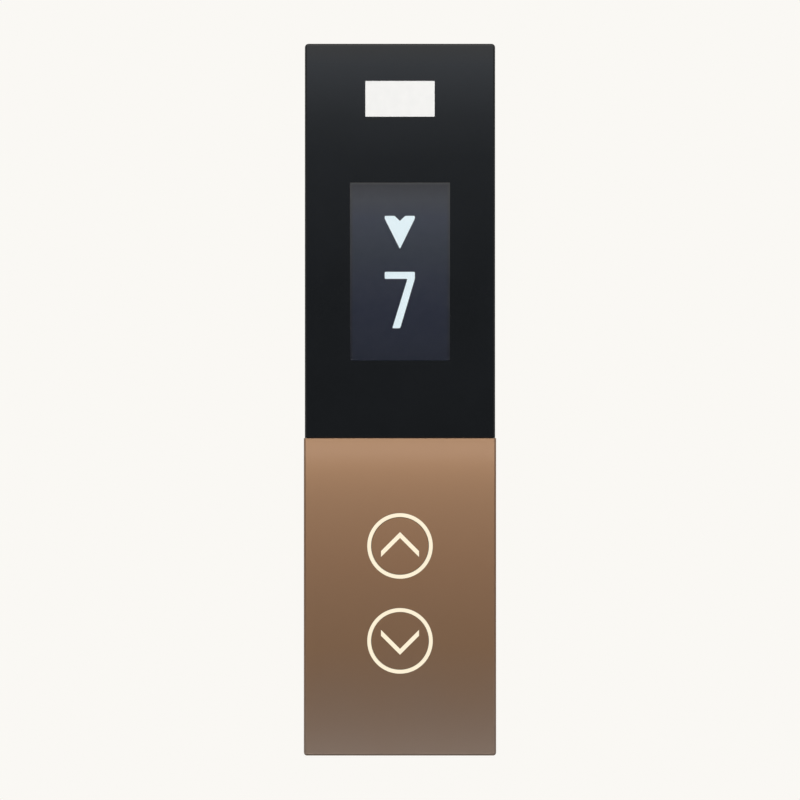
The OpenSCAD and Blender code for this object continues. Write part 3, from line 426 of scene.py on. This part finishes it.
# Leads and ends of the chips: tin-plated strips that leave the larger chips at mid height and
# step down to the board, and tin caps on both ends of the small ones. All are soldered to the
# boards' backs.
BOARD_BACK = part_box("display_board")[1].y
UP_Z, DOWN_Z = -78.2 * MM, -129.0 * MM
LEAD_REACH, LEAD_WIDTH, LEAD_THICK = 1.2 * MM, 0.36 * MM, 0.14 * MM
LEAD_FLAT, LEAD_SLOPE = 0.2, 0.4
CAP_SHARE, CAP_OVER, CAP_R, CAP_EDGE = 0.24, 0.03 * MM, 0.06 * MM, 0.05 * MM
# chip, centre (x, z), size (x, z, height) in mm, leads along x, leads along z, their pitch in mm
LEADED_CHIPS = (("processor", (-6 * MM, VIEW_Z + 12 * MM), (16, 16, 1.4), 18, 18, 0.8),
                ("lower_memory", (14 * MM, VIEW_Z + 4 * MM), (8, 6, 1), 0, 7, 0.8),
                ("upper_memory", (14 * MM, VIEW_Z + 14 * MM), (8, 6, 1), 0, 7, 0.8),
                ("regulator", (-12 * MM, VIEW_Z - 30 * MM), (5, 4.4, 1.2), 0, 4, 1.0),
                ("controller", (-12 * MM, UP_Z), (9, 9, 1.2), 10, 10, 0.8),
                ("driver", (4 * MM, UP_Z), (6, 5, 1.2), 0, 4, 1.1),
                ("supply", (8 * MM, DOWN_Z - 4 * MM), (6.5, 6, 1.8), 3, 0, 2.0))
# chip, size (x, z, height) in mm, how many in a row, the step between them in mm, first of each row
CAPPED_CHIPS = (("filter", (2, 1.2, 0.8), 6, 5, ((-16 * MM, VIEW_Z - 6 * MM),)),
                ("tank", (3.2, 1.6, 1.2), 4, 5, ((4 * MM, VIEW_Z - 36 * MM),)),
                ("resistor", (1.6, 0.8, 0.6), 8, 4,
                 ((-14 * MM, UP_Z - 14 * MM), (-14 * MM, DOWN_Z + 14 * MM))))


def lead_places(centre, size, along_x, along_z, pitch):
    """Where the leads of one chip leave its sides, and which way each points: evenly spaced rows
    about the chip's centre, so many on each side that runs along x and on each that runs along z."""
    row_x = (np.arange(along_x) - (along_x - 1) / 2) * pitch
    row_z = (np.arange(along_z) - (along_z - 1) / 2) * pitch
    half_x, half_z = size[0] / 2, size[1] / 2
    roots, outs = [], []
    for sign in (-1, 1):
        roots += [np.stack([row_x, np.full(along_x, sign * half_z)], -1),
                  np.stack([np.full(along_z, sign * half_x), row_z], -1)]
        outs += [np.tile((0, sign), (along_x, 1)), np.tile((sign, 0), (along_z, 1))]
    return np.concatenate(roots) + np.array(centre), np.concatenate(outs)


def gull_wings(roots, outs, rise, reach, width, thick, steps=11):
    """Strips bent like a gull's wing: going outwards, the height falls from the rise to the board
    along half a cosine, with a short flat run before it and a foot after it. The flat run and the
    slope are shares of the reach."""
    t = np.linspace(0, 1, steps)
    fall = (1 + np.cos(np.pi * np.clip((t - LEAD_FLAT) / LEAD_SLOPE, 0, 1))) / 2
    height = thick / 2 + (rise - thick / 2) * fall
    corner = np.array([[-1, -1], [1, -1], [1, 1], [-1, 1]]) / 2
    beside = np.stack([-outs[:, 1], outs[:, 0]], -1)
    spot = roots[:, None] + outs[:, None] * (t * reach)[None, :, None]
    flat = spot[:, :, None] + beside[:, None, None] * (corner[:, 0] * width)[None, None, :, None]
    depth = np.broadcast_to(height[None, :, None] + corner[:, 1] * thick, flat.shape[:3])
    return np.stack([flat[..., 0], BOARD_BACK + depth, flat[..., 1]], -1)


for chip, centre, size, along_x, along_z, pitch in LEADED_CHIPS:
    roots, outs = lead_places(centre, np.array(size) * MM, along_x, along_z, pitch * MM)
    wings = gull_wings(roots, outs, size[2] / 2 * MM, LEAD_REACH, LEAD_WIDTH, LEAD_THICK)
    fit(skin(f"{chip}_leads", wings, caps=True), tin, "station", "screw_steel")
for chip, size, count, step, starts in CAPPED_CHIPS:
    long, wide, high = np.array(size) * MM
    run = np.array([1, 0]) * (np.arange(count) * step * MM)[:, None, None]
    ends = np.array(starts)[:, None, None] + run + np.array([[-1, 0], [1, 0]]) * (1 - CAP_SHARE) / 2 * long
    outline, _ = round_rect(CAP_SHARE * long + CAP_OVER, wide + 2 * CAP_OVER, CAP_R, steps=3)
    outlines = ends.reshape(-1, 1, 2) + outline
    caps = cut_sheet(f"{chip}_ends", outlines, BOARD_BACK + high + CAP_OVER, BOARD_BACK, CAP_EDGE)
    fit(caps, tin, "station", "screw_steel")


# Flexible lead, connector and terminal block: the display's amber film lead with its copper
# strands, the ivory connector that clamps it, and the green block that takes the field wires.
# The plungers of the key switches are of the same ivory nylon.
STRAND_PITCH = 3.1416 * MM
amber = grained("flex_film", dark=(0.42, 0.17, 0.025), pale=(0.56, 0.26, 0.05), blotch=5 * MM,
                grain=0.6 * MM, rough=(0.25, 0.4), lift=0.01 * MM)
strands = ramp(amber, stripes(amber, STRAND_PITCH), (0.45, (0.5, 0.22, 0.04)), (0.6, (0.3, 0.105, 0.018)))
feed(amber, "Base Color", strands)
wear(amber, "lcd_flex")
ivory = grained("ivory_nylon", dark=(0.62, 0.58, 0.47), pale=(0.74, 0.7, 0.58), blotch=6 * MM,
                grain=0.3 * MM, rough=(0.4, 0.55), lift=0.01 * MM)
wear(ivory, "flex_connector", "up_switch_plunger", "down_switch_plunger")
green = grained("terminal_nylon", dark=(0.03, 0.22, 0.1), pale=(0.06, 0.32, 0.16), blotch=8 * MM,
                grain=0.3 * MM, rough=(0.38, 0.52), lift=0.01 * MM)
wear(green, "field_connector")


# Ribbon: a flat grey cable of eight round cores welded side by side, the first marked red. It
# bows a little between its two sockets, one on each board.
RIBBON_BOW, RIBBON_CORES, WEB_SHARE = 2.5 * MM, 8, 0.9
GREY_DARK, GREY_PALE, GREY_BLOTCH = (0.3, 0.32, 0.34), (0.4, 0.42, 0.44), 10 * MM
MARK_RED = (0.33, 0.03, 0.03, 1)


def ribbon_skin(low, high, cores, points=9, rows=41):
    """A flat cable of round cores side by side: across it, the half thickness of each core is an
    ellipse that stops short of its web; along it, the middle bows like a parabola."""
    u = np.linspace(0, cores, cores * (points - 1) + 1)
    core = 2 * (u % 1) - 1
    thick = high.y - low.y - RIBBON_BOW
    half = thick / 2 * np.sqrt(1 - (WEB_SHARE * core) ** 2)
    x = low.x + (high.x - low.x) * u / cores
    t = np.linspace(-1, 1, rows)[:, None]
    middle = high.y - thick / 2 - RIBBON_BOW * (1 - t ** 2)
    y = np.concatenate([middle - half, (middle + half)[:, ::-1]], 1)
    x = np.broadcast_to(np.concatenate([x, x[::-1]]), y.shape)
    return np.stack([x, y, np.broadcast_to((low.z + high.z) / 2 + t * (high.z - low.z) / 2, y.shape)], -1)


ribbon_low, ribbon_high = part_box("ribbon_cable")
first_core = ribbon_low.x + (ribbon_high.x - ribbon_low.x) / RIBBON_CORES
grey = grained("ribbon_jacket", dark=GREY_DARK, pale=GREY_PALE, blotch=GREY_BLOTCH, grain=0.5 * MM,
               rough=(0.42, 0.55), lift=0.01 * MM)
marked = reckon(grey, "LESS_THAN", along(grey, "X"), first_core)
jacket = ramp(grey, cloud(grey, GREY_BLOTCH), (0.32, GREY_DARK), (0.68, GREY_PALE))
feed(grey, "Base Color", between(grey, marked, jacket, MARK_RED))
ribbon = skin("ribbon", ribbon_skin(ribbon_low, ribbon_high, RIBBON_CORES), caps=True)
fit(ribbon, grey, "station", "ribbon_grey", "ribbon_cable")


# Screws and nuts: zinc-plated steel, cold headed, with the faint mottle of barrel plating. They
# hold the boards, the cups and the cover, and lock the housing on to the wall plate.
steel = grained("screw_plating", dark=(0.4, 0.4, 0.4), pale=(0.56, 0.56, 0.55), blotch=1.2 * MM,
                grain=0.15 * MM, rough=(0.25, 0.42), lift=0.006 * MM, Metallic=1.0)
wear(steel, "display_screws", "board_screws", "cup_screws", "cover_nuts", "lock_screws")


# Terminal screws: six slotted steel heads in the wells of the terminal block. Each head is two
# lobes with the slot between them, on a round root, and each stands turned as it was left.
WAYS, WAY_PITCH, WELL_Z, WELL_DEPTH = 6, 3.5 * MM, -44.77 * MM, 1 * MM
SCREW_R, SLOT, HEAD_EDGE = 1.15 * MM, 0.36 * MM, 0.08 * MM
HEAD_TOP, HEAD_FOOT, ROOT_TOP = 0.7 * MM, 0.3 * MM, 0.31 * MM
SLOT_TURNS = np.radians([12, 75, 140, 33, 98, 160])


def disc(radius, start=0.0, end=2 * math.pi, steps=24):
    """Points round a circle, or along an arc that its chord closes, as (x, z)."""
    turn = np.linspace(start, end, steps, endpoint=end - start < 2 * math.pi)
    return radius * np.stack([np.cos(turn), np.sin(turn)], -1)


ways = np.stack([(np.arange(WAYS) - (WAYS - 1) / 2) * WAY_PITCH, np.full(WAYS, WELL_Z)], -1)
turns = SLOT_TURNS[:, None] + np.array([0, math.pi])
tilt = np.stack([np.cos(turns), -np.sin(turns), np.sin(turns), np.cos(turns)], -1).reshape(WAYS, 2, 2, 2)
lean = math.asin(SLOT / 2 / SCREW_R)
lobes = np.einsum("stij,pj->stpi", tilt, disc(SCREW_R, lean, math.pi - lean, steps=16)) + ways[:, None, None]
well_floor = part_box("field_connector")[1].y - WELL_DEPTH
heads = cut_sheet("terminal_screws", lobes, well_floor + HEAD_TOP, well_floor + HEAD_FOOT, HEAD_EDGE)
fit(heads, steel, "station", "screw_steel")
roots = cut_sheet("terminal_screw_roots", disc(SCREW_R) + ways[:, None], well_floor + ROOT_TOP, well_floor)
fit(roots, steel, "station", "screw_steel")


# Cover studs: four threaded steel studs welded to the inside of the face cover. They go through
# the housing's front wall and take the nuts.
STUD_R, THREAD_PITCH, THREAD_DEPTH = 1.5 * MM, 0.5 * MM, 0.29 * MM


def threaded(radius, low, high, pitch, depth, sides=32, steps=12):
    """A screw thread along Y: the radius falls from its crest by a depth that goes up and down
    once in each pitch, and once round the stud, so that the crest is a helix."""
    y = np.linspace(low, high, int((high - low) / pitch * steps) + 1)[:, None]
    a = np.linspace(0, 2 * np.pi, sides, endpoint=False)[None]
    saw = np.abs(2 * ((y / pitch - a / (2 * np.pi)) % 1) - 1)
    r = radius - depth * saw
    return np.stack([r * np.cos(a), np.broadcast_to(y, r.shape), r * np.sin(a)], -1)


stud_low, stud_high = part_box("cover_studs")
stud_x = (stud_low.x + STUD_R, stud_high.x - STUD_R)
stud_z = (stud_low.z + STUD_R, stud_high.z - STUD_R)
corners = np.array([(x, 0, z) for x in stud_x for z in stud_z])
thread = threaded(STUD_R, stud_low.y, stud_high.y, THREAD_PITCH, THREAD_DEPTH)
studs = skin("threaded_studs", thread[None] + corners[:, None, None], caps=True, smooth=50)
fit(studs, steel, "station", "screw_steel", "cover_studs")


# Cups, carriers and lamps: white acetal mouldings that guide the buttons, screwed to the board
# over a circle of small white lamps. Each lamp has a yellow phosphor dot for its lens, and two
# more stand beside the switch to light the arrow.
LAMP_COUNT, LAMP_RING, SIDE_LAMP = 8, 17.45 * MM, 7.3 * MM
LENS_R, LENS_RISE, LENS_EDGE = 0.5 * MM, 0.12 * MM, 0.08 * MM
white = grained("white_acetal", dark=(0.7, 0.7, 0.68), pale=(0.8, 0.8, 0.78), blotch=9 * MM,
                grain=0.4 * MM, rough=(0.38, 0.5), lift=0.008 * MM)
wear(white, "up_button_cup", "down_button_cup", "up_carrier", "down_carrier", "up_leds", "down_leds")
phosphor = grained("lamp_phosphor", dark=(0.78, 0.66, 0.2), pale=(0.9, 0.78, 0.3), blotch=1 * MM,
                   grain=0.2 * MM, rough=(0.3, 0.45), lift=0.01 * MM)
lamp_turns = np.radians((np.arange(LAMP_COUNT) + 0.5) * 360 / LAMP_COUNT)
lamp_circle = LAMP_RING * np.stack([np.cos(lamp_turns), np.sin(lamp_turns)], -1)
lamp_spots = np.concatenate([lamp_circle, [[-SIDE_LAMP, 0], [SIDE_LAMP, 0]]])
for button, centre_z in (("up", UP_Z), ("down", DOWN_Z)):
    lamp_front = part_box(f"{button}_leds")[0].y
    dots = disc(LENS_R) + lamp_spots[:, None] + np.array([0, centre_z])
    lenses = cut_sheet(f"{button}_lamp_lenses", dots, lamp_front - LENS_RISE, lamp_front, LENS_EDGE)
    fit(lenses, phosphor, "station", "led_phosphor")


# Return springs: stainless wire with closed ends, between the floor of the cup and the carrier.
SPRING_FLOOR, SPRING_TOP, SPRING_R = -11.1 * MM, -15.1 * MM, 10 * MM
SPRING_WIRE, SPRING_TURNS, SPRING_END, SPRING_KEEP = 0.5 * MM, 3.5, 0.55 * MM, 0.75


def coil(centre_z, floor_y, top_y, radius, wire, turns, end, sides=12, steps=40):
    """A round wire carried along a helix whose first and last turn lie almost flat: each of them
    rises by the end height, and the turns between rise evenly by the rest of the length."""
    t = np.linspace(0, turns, int(turns * steps) + 1)
    free = abs(top_y - floor_y) - wire - 2 * end
    rise = end * np.minimum(t, 1) + end * np.maximum(t - turns + 1, 0)
    rise = rise + free * np.clip((t - 1) / (turns - 2), 0, 1)
    a, b = 2 * np.pi * t[:, None], np.linspace(0, 2 * np.pi, sides, endpoint=False)[None]
    r = radius + wire / 2 * np.cos(b)
    y = floor_y - (wire / 2 + rise[:, None] + wire / 2 * np.sin(b))
    return np.stack([r * np.cos(a), y, centre_z + r * np.sin(a)], -1)


spring_steel = grained("spring_wire", dark=(0.45, 0.45, 0.44), pale=(0.6, 0.6, 0.58), blotch=1.5 * MM,
                       grain=0.2 * MM, rough=(0.2, 0.34), lift=0.004 * MM, Metallic=1.0)
for button, centre_z in (("up", UP_Z), ("down", DOWN_Z)):
    wound = coil(centre_z, SPRING_FLOOR, SPRING_TOP, SPRING_R, SPRING_WIRE, SPRING_TURNS, SPRING_END)
    spring = skin(f"{button}_return_spring", wound, caps=True, smooth=60)
    fit(spring, spring_steel, "station", "screw_steel", f"{button}_spring")
    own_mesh(spring)


# Light rings and arrow lenses: milky acrylic mouldings lit from behind, so that their faces glow
# an even warm cream. Their sides are dimmer, and dimmer still further in.
BRIGHT_FRONT, DIM_BACK = -20.0 * MM, -18.0 * MM
cream = finish("lit_acrylic", Roughness=0.35)
milk = ramp(cream, cloud(cream, 4 * MM), (0.3, (0.05, 0.045, 0.036)), (0.7, (0.06, 0.055, 0.045)))
feed(cream, "Base Color", milk)
warm = ramp(cream, cloud(cream, 7 * MM, detail=1.0), (0.3, (0.925, 0.82, 0.615)), (0.7, (0.955, 0.85, 0.645)))
feed(cream, "Emission Color", warm)
inward = spread(cream, along(cream, "Y"), low=0, high=1, start=BRIGHT_FRONT, end=DIM_BACK)
dimmed = ramp(cream, inward, (0.015, (1, 1, 1)), (0.075, (0.42, 0.42, 0.42)), (0.5, (0.3, 0.3, 0.3)),
              (1.0, (0.06, 0.06, 0.06)))
feed(cream, "Emission Strength", dimmed)
wear(cream, "up_halo_ring", "down_halo_ring", "up_arrow_lens", "down_arrow_lens")


# Face cover and button caps: steel sheet folded on all four sides, bead-blasted and coated in bronze. Its
# colour turns greyer towards the lower edge: a painted reflection. The satin coat has a fine even grain and a
# thin clear lacquer over it.
COVER_LOW, COVER_HIGH, TONE_DRIFT = -190 * MM, -20 * MM, 0.02
bronze = finish("bronze_satin", Metallic=1.0, Coat_Weight=1.0, Coat_Roughness=0.25, Coat_IOR=1.5)
# Painted reflection: by height, the bronze colour turns greyer towards the cover's lower edge.
painted_reflection_fade = spread(bronze, along(bronze, "Z"), low=0, high=1, start=COVER_LOW, end=COVER_HIGH)
drift = spread(bronze, cloud(bronze, 45 * MM, detail=2.0), low=-TONE_DRIFT, high=TONE_DRIFT)
tone = reckon(bronze, "ADD", painted_reflection_fade, drift)
bronze_and_painted_reflection = ramp(bronze, tone, (0.0, (0.283, 0.2085, 0.1655)), (0.35, (0.301, 0.179, 0.105)),
              (0.6, (0.304, 0.171, 0.0945)), (1.0, (0.309, 0.1745, 0.0925)))
feed(bronze, "Base Color", bronze_and_painted_reflection)
blast = cloud(bronze, 0.22 * MM, detail=2.0)
feed(bronze, "Roughness", spread(bronze, blast, low=0.4, high=0.5))
emboss(bronze, blast, strength=0.35, depth=0.006 * MM)
wear(bronze, "face_cover", "up_cap", "down_cap")


# Room: a pale studio without corners. The camera, mirrors and glass see it at its full
# brightness, and it lights the station at about half of that.
PALE = (0.956, 0.939, 0.904)
ROOM_LIGHT, ROOM_SEEN = 0.53, 1.0


def looked_at(mat):
    """1 for what the camera sees, straight, in a mirror or through glass, and 0 for light that fills."""
    rays = add(mat, "LightPath").outputs
    sharp = reckon(mat, "MAXIMUM", rays["Is Glossy Ray"], rays["Is Transmission Ray"])
    return reckon(mat, "MAXIMUM", rays["Is Camera Ray"], sharp)


room = bpy.data.worlds.new("pale_room")
bpy.context.scene.world = room
room.use_nodes = True
room.node_tree.nodes.clear()
fill = add(room, "Background", {"Color": (*PALE, 1), "Strength": ROOM_LIGHT})
backdrop = add(room, "Background", {"Color": (*PALE, 1), "Strength": ROOM_SEEN})
either = add(room, "MixShader", {0: looked_at(room), 1: fill.outputs[0], 2: backdrop.outputs[0]})
add(room, "OutputWorld", {"Surface": either.outputs[0]})


# Floor: a wide sheet of pale paper well below the station, which takes its shadow and fades into
# the room far away. It shows from above only, so that it doesn't hide the station from below.
FLOOR_Z, FLOOR_REACH, FADE_FROM, FADE_TO = -0.6, 3.4, 0.9, 3.2


def card(name, low, high):
    """A flat card for the studio between two opposite corners, square to one axis of the room."""
    low, high = np.array(low), np.array(high)
    wide, tall = np.flatnonzero(high - low)
    share = np.zeros((4, 3))
    share[1:3, wide] = share[2:4, tall] = 1
    mesh = bpy.data.meshes.new(name)
    mesh.from_pydata((low + share * (high - low)).tolist(), [], [(0, 1, 2, 3)])
    made = bpy.data.objects.new(name, mesh)
    bpy.context.scene.collection.objects.link(made)
    return made


floor = card("floor", (-FLOOR_REACH, -FLOOR_REACH, FLOOR_Z), (FLOOR_REACH, FLOOR_REACH, FLOOR_Z))
paper = finish("floor_paper", Roughness=0.8)
sheet = ramp(paper, cloud(paper, 0.4), (0.3, (0.9, 0.885, 0.85)), (0.7, (0.92, 0.905, 0.87)))
feed(paper, "Base Color", sheet)
away = add(paper, "VectorMath", {0: place(paper, stretch=(1, 1, 0))}, operation="LENGTH").outputs["Value"]
far = spread(paper, away, low=0, high=1, start=FADE_FROM, end=FADE_TO, smooth=True)
faded = reckon(paper, "MULTIPLY", far, looked_at(paper))
shine = add(paper, "Emission", {"Color": (*PALE, 1), "Strength": ROOM_SEEN})
lit_paper = paper.node_tree.nodes["Principled BSDF"]
blend = add(paper, "MixShader", {0: faded, 1: lit_paper.outputs[0], 2: shine.outputs[0]})
below = add(paper, "NewGeometry").outputs["Backfacing"]
clear_side = add(paper, "BsdfTransparent")
one_sided = add(paper, "MixShader", {0: below, 1: blend.outputs[0], 2: clear_side.outputs[0]})
paper.node_tree.links.new(one_sided.outputs[0], paper.node_tree.nodes["Material Output"].inputs["Surface"])
floor.data.materials.append(paper)


# Cards: black velvet with feathered edges, on stands round the station, and one pale blue card
# behind the first. Only reflections show them: they give the glass its soft fall-off and keep the
# cover and the sides from mirroring the bright room.
GLASS_FADE = ((-0.075, 1.0), (0.186, 0.967), (0.275, 0.897), (0.342, 0.851), (0.387, 0.805),
              (0.454, 0.621), (0.499, 0.385), (0.544, 0.12), (0.58, 0.02))
COOL_FADE = ((-0.1, 0.0), (0.05, 1.0), (0.54, 1.0), (0.58, 0.0))
COVER_FADE = ((-0.24, 0.0), (-0.21, 1.0), (-0.16, 1.0), (-0.1, 0.66), (-0.03, 0.05))
SIDE_FADE = ((-0.34, 0.0), (-0.28, 0.8), (0.28, 0.8), (0.34, 0.0))
COOL = (0.81, 0.865, 0.95)


def flag(name, x, y, z, shine=(0, 0, 0)):
    """A black or shining card in the room, seen only in reflections. It stands where its one plain
    number says. Along the other two axes it has stops of (place, cover): how much of the room behind
    it the card hides there. The covers along the two axes are multiplied."""
    feathers = {axis: stops for axis, stops in zip("XYZ", (x, y, z)) if not np.isscalar(stops)}
    ends = [(at, at) if np.isscalar(at) else (at[0][0], at[-1][0]) for at in (x, y, z)]
    made = card(name, *zip(*ends))
    made.visible_camera = made.visible_diffuse = made.visible_shadow = False
    velvet = finish(name + "_velvet", Roughness=1.0, Specular_IOR_Level=0.0, Emission_Color=(*shine, 1),
                    Emission_Strength=1.0)
    nap = ramp(velvet, cloud(velvet, 0.02), (0.3, (0.008, 0.008, 0.008)), (0.7, (0.014, 0.014, 0.014)))
    feed(velvet, "Base Color", nap)
    shades = []
    for axis, feather in feathers.items():
        start, end = feather[0][0], feather[-1][0]
        share = spread(velvet, along(velvet, axis), low=0, high=1, start=start, end=end)
        stops = [((at - start) / (end - start), (cover, cover, cover)) for at, cover in feather]
        shades.append(ramp(velvet, share, *stops))
    feed(velvet, "Alpha", reckon(velvet, "MULTIPLY", *shades))
    made.data.materials.append(velvet)


flag("glass_flag", y=-4.0, z=GLASS_FADE, x=((-0.35, 0.0), (-0.25, 1.0), (0.25, 1.0), (0.35, 0.0)))
flag("cool_card", y=-4.05, z=COOL_FADE, x=((-0.5, 0.0), (-0.35, 1.0), (0.35, 1.0), (0.5, 0.0)), shine=COOL)
flag("cover_flag", y=-0.3, z=COVER_FADE, x=((-0.32, 0.0), (-0.13, 1.0), (0.13, 1.0), (0.32, 0.0)))
for name, beside_x in (("left_flag", -0.4), ("right_flag", 0.4)):
    flag(name, x=beside_x, z=SIDE_FADE, y=((-0.42, 0.0), (-0.28, 1.0), (0.05, 1.0)))
flag("under_flag", z=-0.55, y=((-0.43, 0.0), (-0.29, 1.0), (0.05, 1.0)),
     x=((-0.4, 0.0), (-0.2, 0.8), (0.2, 0.8), (0.4, 0.0)))


# Lamps: a soft box above and in front of the cover, a wide one over the floor, and two narrow
# strips close to the cover's upper and lower edges, which light the bronze faces alone.
def lamp(name, spot, target, width, height, power, colour=(1.0, 1.0, 1.0), only=None):
    """A soft rectangular lamp at a spot, turned to face a target; a collection limits what it lights."""
    made = bpy.data.lights.new(name, "AREA")
    made.shape = "RECTANGLE"
    made.size, made.size_y = width, height
    made.energy = power
    made.color = colour
    obj = bpy.data.objects.new(name, made)
    obj.location = spot
    obj.rotation_euler = (Vector(target) - Vector(spot)).to_track_quat("-Z", "Y").to_euler()
    bpy.context.scene.collection.objects.link(obj)
    if only:
        obj.light_linking.receiver_collection = only
    return obj


bronze_faces = bpy.data.collections.new("bronze_faces")
for name in ("face_cover", "up_cap", "down_cap"):
    bronze_faces.objects.link(NODES[name])
lamp("cover_softbox", spot=(0, -1.0, 0.46), target=(0, 0, -0.05), width=0.9, height=0.24, power=5.0,
     colour=(1.0, 0.98, 0.95))
lamp("upper_strip", spot=(0, -0.07, -0.027), target=(0, 0, -0.027), width=0.3, height=0.009, power=0.01,
     only=bronze_faces)
lamp("lower_strip", spot=(0, -0.12, -0.222), target=(0, 0, -0.222), width=0.4, height=0.022, power=0.014,
     only=bronze_faces)
floor_lamp = lamp("floor_lamp", spot=(0, 0.4, 2.6), target=(0, 0.4, 0), width=2.4, height=2.4, power=40.0,
                  colour=(1.0, 0.99, 0.97))
floor_lamp.visible_glossy = False


# Camera: square on to the front of the station and two metres from it, with a square frame that
# is 428 mm wide at the face of the glass.
CAMERA_AWAY, CAMERA_Z, FRONT_Y = 2.0, -0.12 * MM, -20 * MM
SENSOR, FRAME_WIDTH, CLIP_END = 36.0, 0.428, 50.0
camera = bpy.data.objects.new("front_camera", bpy.data.cameras.new("front_camera"))
bpy.context.scene.collection.objects.link(camera)
camera.data.sensor_width = SENSOR
camera.data.lens = SENSOR * CAMERA_AWAY / FRAME_WIDTH
camera.data.clip_end = CLIP_END
camera.location = (0, FRONT_Y - CAMERA_AWAY, CAMERA_Z)
camera.rotation_euler = (math.radians(90), 0, 0)
bpy.context.scene.camera = camera
bpy.context.scene.view_settings.view_transform = "Standard"
